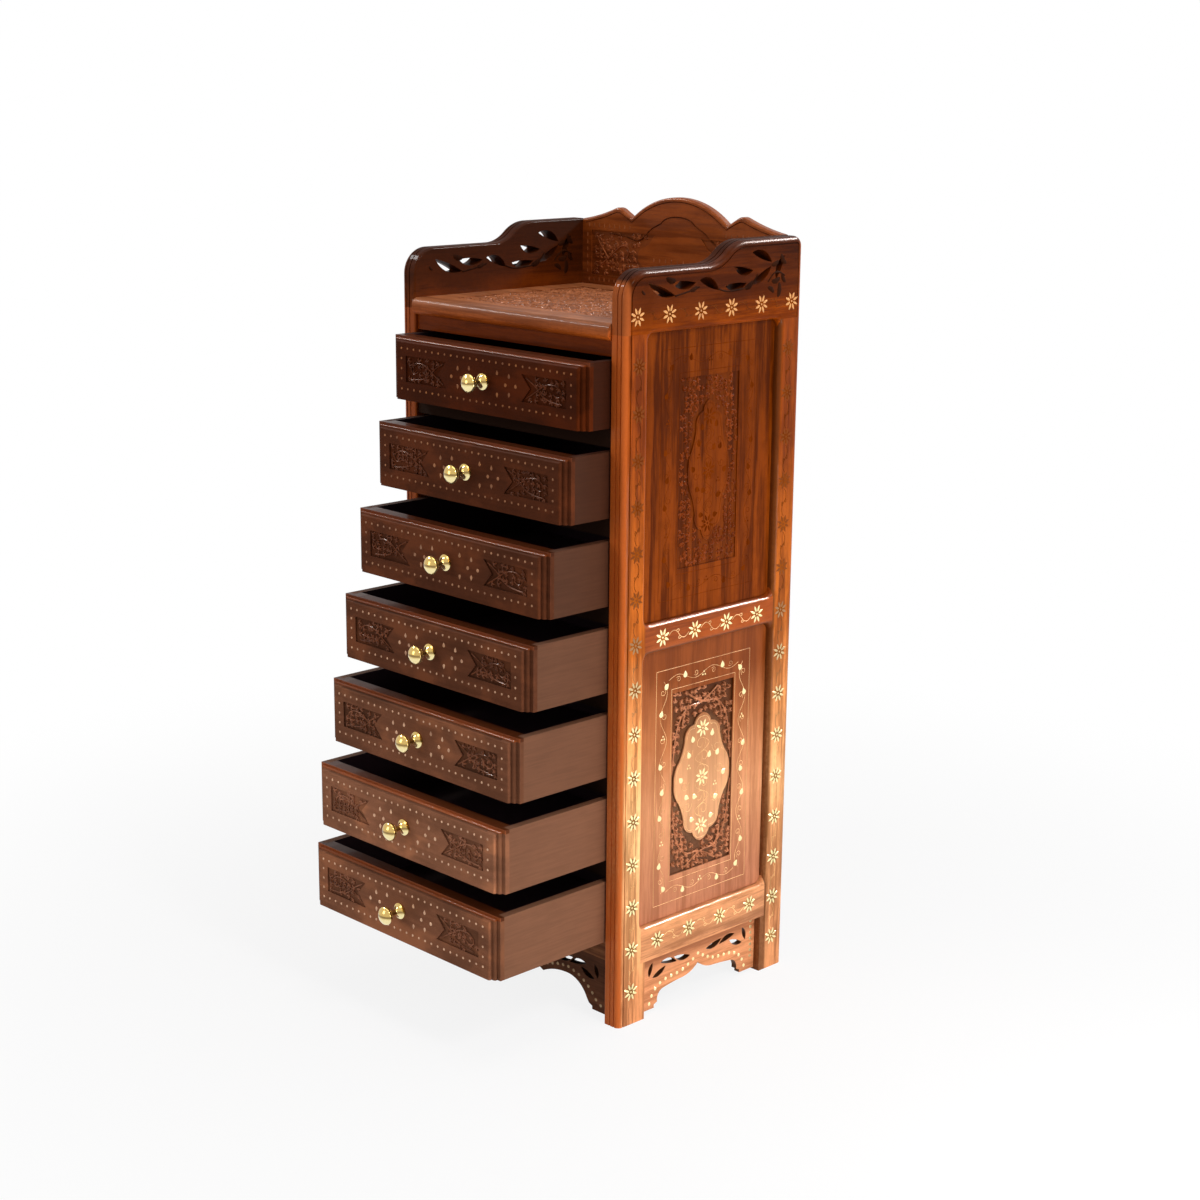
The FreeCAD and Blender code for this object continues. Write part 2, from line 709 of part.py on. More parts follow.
class Drawer:
    """One drawer, drawn out by its own pull."""

    def __init__(self, index):
        self.base = slot_bottom(index) + running_gap
        self.top = self.base + drawer_height
        self.middle = (self.base + self.top) / 2
        closed_edge = -half_depth - drawer_proud
        self.edge_y = closed_edge - drawer_pulls[index]
        self.field_y = self.edge_y - front_moulding_depth
        self.inside_y = self.edge_y + front_thickness
        self.back_y = back_panel_y - drawer_stop_gap - drawer_pulls[index]

    def bottom(self, slack=0.0):
        """The thin bottom, or with slack its grooves in the front and sides."""
        reach = drawer_half - side_thickness + bottom_groove + slack
        z0 = self.base + bottom_lift
        return block(-reach, reach, self.inside_y - bottom_groove - slack, self.back_y + slack,
                     z0 - slack, z0 + bottom_thickness + slack)

    def back(self, slack=0.0):
        """The back, standing on the bottom and housed in the sides."""
        reach = drawer_half - side_thickness + back_housing + slack
        y1 = self.back_y - back_thickness
        return block(-reach, reach, y1 - back_thickness - slack, y1 + slack,
                     self.base + bottom_lift + bottom_thickness, self.top - back_drop + slack)

    def sides(self):
        """The two sides, grooved for the bottom and housed for the back."""
        side = block(drawer_half - side_thickness, drawer_half, self.inside_y - (front_thickness - front_lap),
                     self.back_y, self.base, self.top)
        side = side.cut([self.bottom(fit_gap), self.back(fit_gap)])
        return side, mirrored(side)

    def end_field(self):
        """The carved field at the right end, with a fishtail towards the knob."""
        outer = drawer_half - end_field_margin - front_moulding_width
        inner = outer - end_field_length
        up = end_field_height / 2
        outline = face_of(in_xz(self.field_y - overrun), (inner, self.middle - up), (outer, self.middle - up),
                          (outer, self.middle + up), (inner, self.middle + up),
                          (inner + end_field_notch, self.middle))
        return outline.extrude(Vector(0, end_field_depth + overrun, 0))

    def stepped(self, inset, drop, y0, y1, radius):
        """One step of the moulded front, inset at its ends, dropped at its top and rounded there."""
        half = drawer_half - inset
        step = block(-half, half, y0, y1, self.base, self.top - drop)
        rims = [edge for edge in step.Edges if on_one_face(edge, y0) and edge.BoundBox.ZMax > self.base + 1]
        return step.makeFillet(radius, rims)

    def front(self):
        """The front: a lapped board with a stepped moulding, two carved fields and the screw hole."""
        half_step = self.edge_y - front_moulding_depth / 2
        board = block(-drawer_half, drawer_half, self.edge_y, self.inside_y, self.base, self.top)
        bead_inset = front_moulding_width - front_bead_width
        bead = self.stepped(bead_inset, front_bead_drop, half_step, self.edge_y, front_bead_radius)
        field = self.stepped(front_moulding_width, front_moulding_drop, self.field_y, half_step,
                             front_bead_radius)
        board = board.multiFuse([bead, field]).removeSplitter()
        rebate = block(drawer_half - side_thickness, drawer_half + overrun, self.edge_y + front_lap,
                       self.inside_y + overrun, self.base - overrun, self.top + overrun)
        hole = self.turned(screw_radius + screw_gap, self.field_y - overrun, self.inside_y + overrun)
        carved = self.end_field()
        return board.cut([rebate, mirrored(rebate), carved, mirrored(carved), hole, self.bottom(fit_gap)])

    def turned(self, radius, y0, y1):
        """A round pin along Y through the middle of the front."""
        return Part.makeCylinder(radius, y1 - y0, Vector(0, y0, self.middle), Vector(0, 1, 0))

    def knob(self):
        """The turned brass knob with its blind bore, and the screw that holds it from inside."""
        def at(radius, out):
            return Vector(radius, self.field_y - out, self.middle)
        rim_x = knob_head_radius - knob_rim_radius
        crown_radius = (rim_x ** 2 + knob_head_half ** 2 - knob_rim_radius ** 2) / (
            2 * (knob_head_half - knob_rim_radius))
        crown_shift = crown_radius - knob_head_half
        turn = math.degrees(math.atan2(crown_shift, rim_x))
        neck_turn = math.degrees(math.acos(knob_neck_radius / crown_radius))
        neck_end = knob_head_centre + crown_shift - crown_radius * math.sin(math.radians(neck_turn))
        hollow = (knob_base_radius + 2 * knob_neck_radius) / 3
        face = face_of(at, (0, 0), (knob_base_radius, 0), (knob_base_radius, knob_base_rim),
                       (hollow, knob_neck_start / 2, knob_neck_radius, knob_neck_start),
                       (knob_neck_radius, neck_end),
                       corner_arc(0, knob_head_centre + crown_shift, crown_radius, -neck_turn, -turn),
                       corner_arc(rim_x, knob_head_centre, knob_rim_radius, -turn, turn),
                       corner_arc(0, knob_head_centre - crown_shift, crown_radius, turn, 90))
        body = face.revolve(at(0, 0), Vector(0, 1, 0), 360)
        bore_end = self.field_y - screw_bite - screw_gap
        body = body.cut(self.turned(screw_radius + screw_gap, bore_end, self.field_y))
        shank = self.turned(screw_radius, self.field_y - screw_bite, self.inside_y)
        head = self.turned(screw_head_radius, self.inside_y, self.inside_y + screw_head_height)
        return body, shank.fuse(head).removeSplitter()


# Shared shapes that several pieces are cut from
side_openings = ((bottom_rail_top, middle_rail_base), (middle_rail_top, post_height))
divider_bottoms = [slot_bottom(index) - divider_height for index in range(drawer_count - 1)]
front_rails = [(frieze_bottom, frieze_height), (base_rail_bottom, base_rail_height)]
front_rails += [(bottom, divider_height) for bottom in divider_bottoms]
routed_plate = routed_side()

os.makedirs("parts", exist_ok=True)

right_pieces = {
    "front_post": post(-1),
    "back_post": post(1),
    "gallery": gallery(),
    "middle_rail": side_rail(middle_rail_base, middle_rail_height,
                             ((middle_rail_base, -1), (middle_rail_top, 1))),
    "bottom_rail": side_rail(bottom_rail_base, bottom_rail_height, ((bottom_rail_top, 1),)).cut(
        side_apron_blank(fit_gap)),
    "upper_panel": side_panel(middle_rail_top, post_height, upper_field_side, upper_field_end,
                              upper_field_drop, upper_field_depth, upper_medallion_side, upper_medallion_end),
    "lower_panel": side_panel(bottom_rail_top, middle_rail_base, lower_field_side, lower_field_end,
                              lower_field_drop, lower_field_depth, lower_medallion_side, lower_medallion_end),
    "side_apron": side_apron(),
}
for name, piece in right_pieces.items():
    export(name + "_right", piece)
    export(name + "_left", mirrored(piece))

export("top_board", top_board())
export("crest_board", crest())
export("frieze_rail", front_rail(frieze_bottom, frieze_height, frieze_depth))
export("base_rail", front_rail(base_rail_bottom, base_rail_height, divider_depth).cut(
    front_apron_blank(fit_gap)))
export("drawer_dividers", *[front_rail(bottom, divider_height, divider_depth) for bottom in divider_bottoms])
export("drawer_runners", *runners())
export("front_apron", front_apron())
export("back_rail", back_rail())
export("back_panel", back_panel_blank(0.0))

for index in range(drawer_count):
    drawer = Drawer(index)
    prefix = "drawer_%d_" % (index + 1)
    export(prefix + "front", drawer.front())
    export(prefix + "sides", *drawer.sides())
    export(prefix + "back", drawer.back())
    export(prefix + "bottom", drawer.bottom())
    export(prefix + "knob", *drawer.knob())
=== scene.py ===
"""Chest of seven pulled-out drawers in carved, brass-inlaid wood, dressed for its studio picture."""
import logging
import math
import random
from dataclasses import dataclass
from enum import Enum
from typing import Iterable, Optional, Sequence, Union

import bmesh
import bpy
from mathutils import Matrix, Vector


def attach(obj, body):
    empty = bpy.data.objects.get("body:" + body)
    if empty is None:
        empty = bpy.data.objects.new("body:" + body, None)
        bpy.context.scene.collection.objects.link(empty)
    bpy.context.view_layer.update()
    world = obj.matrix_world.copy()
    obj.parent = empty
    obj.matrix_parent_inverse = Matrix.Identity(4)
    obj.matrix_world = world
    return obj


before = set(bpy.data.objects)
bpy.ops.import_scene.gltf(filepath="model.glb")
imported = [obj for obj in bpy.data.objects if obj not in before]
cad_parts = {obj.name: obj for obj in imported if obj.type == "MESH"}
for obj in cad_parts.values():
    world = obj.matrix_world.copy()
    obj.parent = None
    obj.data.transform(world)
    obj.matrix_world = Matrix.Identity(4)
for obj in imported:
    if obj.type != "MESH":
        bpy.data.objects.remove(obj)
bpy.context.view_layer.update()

MM = 0.001
SIDES = {"right": 1, "left": -1}
log = logging.getLogger("chest")

Triple = tuple[float, float, float]
Colour = Triple
Point = tuple[float, float]
Tones = tuple[tuple[float, Colour], ...]
Pair = tuple[Colour, Colour]
Value = Union["Socket", float, Sequence[float]]
WHITE = (1.0, 1.0, 1.0)


class Axis(Enum):
    """The three directions of the chest: across it, from front to back, and up."""

    ACROSS = 0
    DEPTH = 1
    UP = 2


class Socket:
    """A shader value; arithmetic on it adds Math nodes to its graph."""

    def __init__(self, graph: "Graph", output: bpy.types.NodeSocket) -> None:
        """Keeps the output and the graph that it belongs to."""
        self.graph = graph
        self.output = output

    def math(self, operation: str, *values: Value) -> "Socket":
        """Adds one Math node with these inputs."""
        return self.graph.node("ShaderNodeMath", {"operation": operation}, dict(enumerate(values)))

    def __add__(self, other: Value) -> "Socket":
        """This value plus another."""
        return self.math("ADD", self, other)

    __radd__ = __add__

    def __sub__(self, other: Value) -> "Socket":
        """This value less another."""
        return self.math("SUBTRACT", self, other)

    def __rsub__(self, other: Value) -> "Socket":
        """Another value less this one."""
        return self.math("SUBTRACT", other, self)

    def __mul__(self, other: Value) -> "Socket":
        """This value times another."""
        return self.math("MULTIPLY", self, other)

    __rmul__ = __mul__

    def __abs__(self) -> "Socket":
        """This value without its sign."""
        return self.math("ABSOLUTE", self)

    def sine(self) -> "Socket":
        """The sine of this value."""
        return self.math("SINE", self)

    def between(self, low: float, high: float) -> "Socket":
        """Rises smoothly from 0 at low to 1 at high; low may be the larger."""
        sockets = {"Value": self, "From Min": low, "From Max": high}
        return self.graph.node("ShaderNodeMapRange", {"interpolation_type": "SMOOTHSTEP"}, sockets)


class Graph:
    """The node graph of one material or of the world."""

    def __init__(self, tree: bpy.types.NodeTree) -> None:
        """Empties the tree."""
        tree.nodes.clear()
        self.tree = tree

    @classmethod
    def of_material(cls, name: str) -> tuple["Graph", bpy.types.Material]:
        """Makes a new material.

        Args:
            name: the material's name.

        Returns:
            Its graph and the material.
        """
        material = bpy.data.materials.new(name)
        material.use_nodes = True
        return cls(material.node_tree), material

    def node(
        self,
        kind: str,
        settings: Optional[dict[str, object]] = None,
        sockets: Optional[dict[Union[str, int], Value]] = None,
        output: Union[str, int] = 0,
    ) -> Optional[Socket]:
        """Adds a node, sets it, then fills its sockets.

        Args:
            kind: the node's type.
            settings: its own settings; "stops" are a colour ramp's places and colours.
            sockets: values or links by socket name or number.
            output: the output that is wanted.

        Returns:
            That output, or nothing for a node that has none.
        """
        made = self.tree.nodes.new(kind)
        for name, value in (settings or {}).items():
            if name == "stops":
                stops = made.color_ramp.elements
                while len(stops) < len(value):
                    stops.new(0.5)
                for stop, (place, colour) in zip(stops, value):
                    stop.position = place
                    stop.color = (*colour, 1.0)
            else:
                setattr(made, name, value)
        for key, value in (sockets or {}).items():
            socket = made.inputs[key]
            if isinstance(value, Socket):
                self.tree.links.new(value.output, socket)
            elif socket.type == "RGBA" and len(value) == 3:
                socket.default_value = (*value, 1.0)
            else:
                socket.default_value = value
        return Socket(self, made.outputs[output]) if made.outputs else None

    def mix(self, share: Value, first: Value, second: Value, blend: str = "MIX") -> Socket:
        """Blends two colours; share is how much of the second shows."""
        settings = {"data_type": "RGBA", "blend_type": blend}
        return self.node("ShaderNodeMix", settings, {0: share, 6: first, 7: second}, 2)

    def place(self) -> Socket:
        """The point on the piece, in metres."""
        return self.node("ShaderNodeTexCoord", output="Object")

    def parts(self, vector: Socket) -> tuple[Socket, ...]:
        """Splits a vector into its three numbers."""
        split = self.node("ShaderNodeSeparateXYZ", None, {0: vector})
        return tuple(Socket(self, output) for output in split.output.node.outputs)

    def noise(self, vector: Socket, scale: float, detail: float = 3.0, rough: float = 0.55) -> Socket:
        """Noise about 0.5: its waves in a metre, and how many finer layers it has and how strong."""
        sockets = {"Vector": vector, "Scale": scale, "Detail": detail, "Roughness": rough}
        return self.node("ShaderNodeTexNoise", None, sockets)

    def stretched(self, vector: Socket, scale: Sequence[float], shift: Sequence[float]) -> Socket:
        """Stretches a vector by a factor for each direction, then shifts it."""
        return self.node("ShaderNodeMapping", None, {"Vector": vector, "Location": shift, "Scale": scale})

    def bump(self, height: Socket, strength: float, distance: float) -> Socket:
        """A normal that is bumped by a height, of which 1 stands for a distance in metres."""
        sockets = {"Height": height, "Strength": strength, "Distance": distance}
        return self.node("ShaderNodeBump", None, sockets)

    def surface(self, **sockets: Value) -> None:
        """Ends the graph in one Principled shader.

        Args:
            sockets: values or links by socket name, with underscores for its spaces.
        """
        named = {name.replace("_", " "): value for name, value in sockets.items()}
        shader = self.node("ShaderNodeBsdfPrincipled", None, {"Specular IOR Level": 0.5, **named})
        self.node("ShaderNodeOutputMaterial", None, {"Surface": shader})


def scaled(colour: Colour, share: float) -> Colour:
    """A colour made darker or paler by a share."""
    return tuple(c * share for c in colour)


@dataclass(frozen=True)
class Finish:
    """What every finish has: a name, and a way to paint its material."""

    name: str

    def material(self) -> bpy.types.Material:
        """Makes the material.

        Returns:
            The painted material.
        """
        graph, material = Graph.of_material(self.name)
        self.paint(graph, graph.place())
        return material

    def paint(self, graph: Graph, place: Socket) -> None:
        """Paints the graph, in each kind of finish's own way."""
        raise NotImplementedError(self.name)


@dataclass(frozen=True)
class PaintedLightBand:
    """A band along an axis, from the face's distance from the origin to the floor's, where light or shade is
    painted into the colour: painted shade in recesses, on walls and on carved grounds, and a paler band of
    painted light on a lit edge.
    """

    axis: Axis
    face: float
    floor: float
    share: float = 0.75
    # The colour mixed into the band: dark for painted shade, pale for painted light.
    stain: Colour = (0.022, 0.007, 0.003)
    dull: float = 0.12


@dataclass(frozen=True)
class Patch:
    """A paler round of wood on a side panel."""

    half: float
    middle: float
    reach: float
    tone: Colour = (1.0, 0.66, 0.34)
    share: float = 0.20


# Tones by height in metres. The paler, warmer tones low down and the darker ones higher up are partly painted
# light, on top of the wood's own tone.
POST_TONES = (
    (0.05, (0.66, 0.265, 0.105)),
    (0.25, (0.98, 0.480, 0.205)),
    (0.33, (0.88, 0.350, 0.115)),
    (0.45, (0.50, 0.120, 0.012)),
    (0.67, (0.27, 0.046, 0.002)),
)


@dataclass(frozen=True)
class PolishedWood(Finish):
    """Stained and polished hardwood with streaked figure, whose tone changes up the chest; that change is
    partly painted light, paler low down and darker higher up.
    """

    grain: Axis
    tones: Tones = POST_TONES
    contrast: float = 0.40
    roughness: float = 0.34
    coat: float = 0.08
    gloss: float = 0.22
    wander: float = 0.10
    # Bands where painted light and shade are mixed into the colour.
    sunk: Optional[PaintedLightBand] = None
    edge: Optional[PaintedLightBand] = None
    patch: Optional[Patch] = None
    shift: Triple = (0.0, 0.0, 0.0)
    stretch: float = 0.07
    pore_stretch: float = 0.03
    broad_waves: float = 18.0
    streak_waves: float = 250.0
    pore_waves: float = 1100.0
    drift_waves: float = 7.0
    mottle_waves: float = 38.0
    painted_shading_waves: float = 260.0
    ring_count: float = 34.0
    ring_bend: float = 2.5
    deep: Colour = (1.0, 0.95, 0.90)
    rich: Colour = (1.18, 1.22, 1.24)
    sheen: Colour = (1.0, 0.34, 0.08)
    coat_roughness: float = 0.07
    relief: float = 0.20
    relief_height: float = 0.0005

    def along_grain(self, graph: Graph, place: Socket, share: float) -> Socket:
        """Draws the place out along the grain."""
        return graph.stretched(place, [share if axis is self.grain else 1.0 for axis in Axis], self.shift)

    def paint(self, graph: Graph, place: Socket) -> None:
        """Paints the figure, the pores and the mottling, then the patch and the bands of painted light and
        shade.

        Args:
            graph: the material's graph.
            place: the point on the piece.
        """
        fibre = self.along_grain(graph, place, self.stretch)
        broad = graph.noise(fibre, self.broad_waves, 2.0)
        streak = graph.noise(fibre, self.streak_waves, 4.0, 0.65)
        rings = ((broad * self.ring_count) + (streak * self.ring_bend)).sine() * 0.5 + 0.5
        fine = self.along_grain(graph, place, self.pore_stretch)
        pores = graph.noise(fine, self.pore_waves, 2.0).between(0.42, 0.32)
        figure = (rings * 0.18) + (streak * 0.68) + (broad * 0.14)
        drift = graph.noise(place, self.drift_waves, 2.0) * self.wander - (self.wander / 2)
        spot = graph.parts(place)
        tone = graph.node("ShaderNodeValToRGB", {"stops": self.tones}, {0: spot[Axis.UP.value] + drift})
        deep = graph.mix(1.0, tone, tuple(share - self.contrast for share in self.deep), "MULTIPLY")
        rich = graph.mix(1.0, tone, self.rich, "MULTIPLY")
        colour = graph.mix(figure.between(0.35, 0.62), deep, rich)
        colour = graph.mix(pores * 0.35, colour, deep)
        mottle = graph.noise(place, self.mottle_waves, 5.0, 0.7)
        colour = graph.mix(mottle.between(0.58, 0.34) * 0.25, colour, deep)
        rough = (mottle * 0.16) + (pores * 0.10) + (self.roughness - 0.08)
        if self.patch:
            beside = spot[Axis.DEPTH.value] * (1.0 / self.patch.half)
            above = (spot[Axis.UP.value] - self.patch.middle) * (1.0 / self.patch.reach)
            inside = ((beside * beside) + (above * above)).between(1.10, 0.70)
            colour = graph.mix(inside * self.patch.share, colour, self.patch.tone)
        # Painted light and shade: each band mixes in its colour, dark in recesses and pale on a lit edge.
        for region in filter(None, (self.sunk, self.edge)):
            low = abs(spot[region.axis.value]).between(region.face, region.floor)
            stain = low * (region.share - 0.15 + 0.30 * graph.noise(place, self.painted_shading_waves))
            colour = graph.mix(stain, colour, region.stain)
            rough = rough + (low * region.dull)
        relief = (streak * 0.5) - (pores * 0.6) + (mottle * 0.25)
        graph.surface(
            Base_Color=colour,
            Roughness=rough,
            Coat_Weight=self.coat * mottle.between(0.15, 0.55),
            Coat_Roughness=self.coat_roughness,
            Specular_IOR_Level=self.gloss,
            Specular_Tint=self.sheen,
            Normal=graph.bump(relief, self.relief, self.relief_height),
        )


@dataclass(frozen=True)
class DrawerFrontWood(Finish):
    """A dull brown drawer face under a polished top moulding, with carved fields and end grooves darkened by
    painted shade.
    """

    face: Colour
    moulding: Colour
    half_width: float
    face_level: float
    edge: float
    moulding_foot: float
    carved: float
    end_shade: float
    field_shade: float
    shift: float
    field_inset: float = 0.022
    groove_inset: float = 0.009
    groove_width: float = 0.003
    soft: float = 0.002
    warm: Colour = (1.60, 1.50, 1.30)
    shade: Colour = (0.010, 0.004, 0.002)
    stretch: float = 0.06
    cloud_stretch: float = 0.5
    streak_waves: float = 170.0
    broad_waves: float = 30.0
    speck_waves: float = 900.0
    cloud_waves: float = 26.0
    gloss: float = 0.04
    sheen: Colour = (1.0, 0.45, 0.20)
    coat: float = 0.12
    coat_roughness: float = 0.10
    relief: float = 0.22
    relief_height: float = 0.0005

    def paint(self, graph: Graph, place: Socket) -> None:
        """Paints the clouded face, the painted shade in its fields and end grooves, and the moulding over it.

        Args:
            graph: the material's graph.
            place: the point on the piece.
        """
        across, depth, height = graph.parts(place)
        fibre = graph.stretched(place, (self.stretch, 1.0, 1.0), (self.shift, 0.0, 0.0))
        streak = graph.noise(fibre, self.streak_waves, 4.0, 0.6)
        speck = graph.noise(place, self.speck_waves)
        figure = (streak * 0.6) + (graph.noise(fibre, self.broad_waves, 2.0) * 0.4)
        plain = graph.mix(figure.between(0.30, 0.70), scaled(self.face, 0.68), self.face)
        plain = graph.mix(speck.between(0.62, 0.42) * 0.30, plain, scaled(self.face, 0.55))
        drawn = graph.stretched(place, (self.cloud_stretch, 1.0, 1.0), (self.shift, 0.0, self.shift))
        cloud = graph.noise(drawn, self.cloud_waves)
        plain = graph.mix(cloud.between(0.50, 0.34) * 0.50, plain, scaled(self.face, 0.42))
        warm = tuple(c * s for c, s in zip(self.face, self.warm))
        plain = graph.mix(cloud.between(0.50, 0.66) * 0.55, plain, warm)
        # Painted shade in the sunk carved fields.
        low = depth.between(self.face_level + 0.0003, self.face_level + self.carved - 0.0003)
        inner = self.half_width - self.field_inset
        sunk = low * abs(across).between(inner, inner - self.soft)
        plain = graph.mix(sunk * self.field_shade, plain, self.shade)
        back = depth.between(self.face_level + 0.0010, self.face_level + 0.0035)
        crown = height.between(self.moulding_foot, self.moulding_foot + 0.0015) * back
        bead = depth.between(self.edge + 0.0012, self.edge + 0.0002)
        # Painted shade in the grooves at the front's ends.
        outer = self.half_width - self.groove_inset
        groove = abs(across).between(outer - self.groove_width, outer) * back
        plain = graph.mix(groove * self.end_shade, plain, scaled(self.face, 0.45))
        lit = graph.mix(figure.between(0.30, 0.72), scaled(self.moulding, 0.55), self.moulding)
        lit = graph.mix(bead, scaled(self.moulding, 0.24), lit)
        graph.surface(
            Base_Color=graph.mix(crown, plain, lit),
            Roughness=0.50 - (crown * 0.20) + (speck * 0.10) + (sunk * 0.10),
            Coat_Weight=crown * self.coat,
            Coat_Roughness=self.coat_roughness,
            Specular_IOR_Level=self.gloss,
            Specular_Tint=self.sheen,
            Normal=graph.bump((streak * 0.5) + (speck * 0.5), self.relief, self.relief_height),
        )


@dataclass(frozen=True)
class BoxWood(Finish):
    """Planed drawer-box wood outside, and a near-black lining inside."""

    planed: Colour
    lining: Colour
    inside: float
    shift: float = 0.0
    stretch: float = 0.05
    streak_waves: float = 420.0
    cloud_waves: float = 24.0
    nap_waves: float = 1600.0
    gloss: float = 0.12
    sheen: Colour = (1.0, 0.70, 0.50)
    relief: float = 0.18
    relief_height: float = 0.0004

    def paint(self, graph: Graph, place: Socket) -> None:
        """Paints the planed wood, and the lining within the inside faces.

        Args:
            graph: the material's graph.
            place: the point on the piece.
        """
        across = graph.parts(place)[Axis.ACROSS.value]
        fibre = graph.stretched(place, (1.0, self.stretch, 1.0), (0.0, self.shift, 0.0))
        streak = graph.noise(fibre, self.streak_waves, 3.0, 0.6)
        figure = (streak * 0.7) + (graph.noise(place, self.cloud_waves) * 0.3)
        planed = graph.mix(figure.between(0.30, 0.70), scaled(self.planed, 0.80), self.planed)
        nap = graph.noise(place, self.nap_waves, 2.0)
        lining = graph.mix(nap, scaled(self.lining, 0.5), self.lining)
        lined = abs(across).between(self.inside + 0.0006, self.inside + 0.0002)
        graph.surface(
            Base_Color=graph.mix(lined, planed, lining),
            Roughness=0.62 + (lined * 0.25) + (streak * 0.08),
            Specular_IOR_Level=self.gloss,
            Specular_Tint=self.sheen,
            Normal=graph.bump((streak * 0.6) + (nap * 0.4), self.relief, self.relief_height),
        )


@dataclass(frozen=True)
class Brass(Finish):
    """Brass, bright where it is rubbed and brown where it has tarnished."""

    bright: Colour
    tarnish: Colour
    worn: float = 0.5
    roughness: float = 0.30
    relief: float = 0.15
    painted_shade_heights: Optional[Point] = None
    cloud_waves: float = 60.0
    speck_waves: float = 700.0
    scratch_waves: float = 1500.0
    scratch_stretch: Triple = (1.0, 0.1, 0.6)
    scratch_shift: Triple = (0.1, 0.3, 0.0)
    relief_height: float = 0.0003

    def paint(self, graph: Graph, place: Socket) -> None:
        """Paints the tarnish in clouds and specks, and above the given heights darkens the whole brass to its
        tarnish colour as painted shade.

        Args:
            graph: the material's graph.
            place: the point on the piece.
        """
        speck = graph.noise(place, self.speck_waves)
        clouds = (graph.noise(place, self.cloud_waves, 4.0, 0.65) * 0.7) + (speck * 0.3)
        aged = clouds.between(self.worn - 0.16, self.worn + 0.16)
        # Painted shade: higher up the brass darkens like the wood around it.
        if self.painted_shade_heights:
            aged = aged.math("MAXIMUM", aged, graph.parts(place)[Axis.UP.value].between(*self.painted_shade_heights))
        drawn = graph.stretched(place, self.scratch_stretch, self.scratch_shift)
        scratch = graph.noise(drawn, self.scratch_waves, 2.0)
        graph.surface(
            Base_Color=graph.mix(aged, self.bright, self.tarnish),
            Metallic=1.0 - (aged * (1.0 if self.painted_shade_heights else 0.35)),
            Specular_IOR_Level=0.05 if self.painted_shade_heights else 0.5,
            Roughness=(aged * 0.22) + (scratch * 0.14) + (self.roughness - 0.07),
            Normal=graph.bump(speck + scratch, self.relief, self.relief_height),
        )


@dataclass(frozen=True)
class KnobReflectionBrass(Finish):
    """A polished knob with a painted reflection: pale gold below, deep gold above and a dark line round the
    middle, standing for the floor, the room and the horizon reflected in it.
    """

    middle: float
    pale: Colour = (0.96, 0.82, 0.42)
    deep: Colour = (0.66, 0.44, 0.12)
    line: Colour = (0.16, 0.09, 0.02)
    radius: float = 0.009
    cloud_waves: float = 160.0

    def paint(self, graph: Graph, place: Socket) -> None:
        """Paints the reflection: the two golds and the dark line between them.

        Args:
            graph: the material's graph.
            place: the point on the piece.
        """
        height = (graph.parts(place)[Axis.UP.value] - self.middle) * (1.0 / self.radius)
        cloud = graph.noise(place, self.cloud_waves)
        gold = graph.mix((height + (cloud * 0.3)).between(0.25, -0.25), self.deep, self.pale)
        # Painted reflection of the horizon: a dark line round the middle.
        horizon_reflection = abs(height - 0.06).between(0.22, 0.06) * (0.55 + (0.35 * cloud))
        graph.surface(
            Base_Color=graph.mix(horizon_reflection, gold, self.line),
            Metallic=0.9,
            Roughness=(cloud * 0.08) + 0.08,
            Coat_Weight=0.5,
            Coat_Roughness=0.04,
        )


def one_tone(
    name: str, tone: Colour, coat: float, gloss: float = 0.05, roughness: float = 0.34, grain: Axis = Axis.UP
) -> PolishedWood:
    """Wood of one tone from the floor to the top, as carved leaves have."""
    return PolishedWood(name, grain, ((0.0, tone), (1.0, tone)), roughness=roughness, coat=coat, gloss=gloss)


def both(name: str) -> tuple[str, ...]:
    """The nodes of a piece that stands on the right side and on the left."""
    return tuple(f"{name}_{side}" for side in SIDES)


# Tones by height in metres; as with POST_TONES, the change with height is partly painted light, paler low
# down and darker higher up. APRON_TONES darken at the top as painted shade under the rail.
RAIL_TONES = ((0.03, (0.42, 0.165, 0.073)), (0.10, (0.68, 0.285, 0.116)), (0.46, (0.33, 0.060, 0.005)))
GALLERY_TONES = ((0.82, (0.280, 0.047, 0.001)), (0.85, (0.115, 0.019, 0.001)), (0.90, (0.056, 0.009, 0.001)))
APRON_TONES = ((0.01, (0.60, 0.240, 0.105)), (0.04, (0.74, 0.300, 0.130)), (0.068, (0.44, 0.165, 0.072)))
# Much darker than the side apron's tones: painted shade on the front.
FRONT_APRON_TONES = ((0.02, (0.150, 0.052, 0.022)), (0.09, (0.085, 0.028, 0.011)))
BACK_TONES = ((0.10, (0.20, 0.060, 0.020)), (0.80, (0.17, 0.042, 0.012)))
CREST_TONES = ((0.82, (0.26, 0.062, 0.013)), (0.92, (0.28, 0.056, 0.006)))
TOP_TONES = ((0.80, (0.82, 0.140, 0.003)), (0.823, (0.35, 0.112, 0.040)))
FRONT_TONES = ((0.05, (0.22, 0.080, 0.030)), (0.70, (0.180, 0.027, 0.001)))
LOWER_TONES = (
    (0.12, (0.44, 0.165, 0.082)),
    (0.24, (0.62, 0.270, 0.125)),
    (0.33, (0.40, 0.130, 0.043)),
    (0.41, (0.21, 0.046, 0.008)),
)
UPPER_TONES = (
    (0.50, (0.22, 0.040, 0.003)),
    (0.64, (0.19, 0.033, 0.002)),
    (0.74, (0.158, 0.027, 0.001)),
    (0.80, (0.20, 0.036, 0.002)),
)
WIRE_TONES = ((0.20, (0.96, 0.56, 0.25)), (0.50, (0.17, 0.040, 0.006)))
GROUND_TONES = ((0.25, (0.34, 0.150, 0.040)), (0.50, (0.36, 0.085, 0.008)), (0.64, (0.21, 0.042, 0.003)))
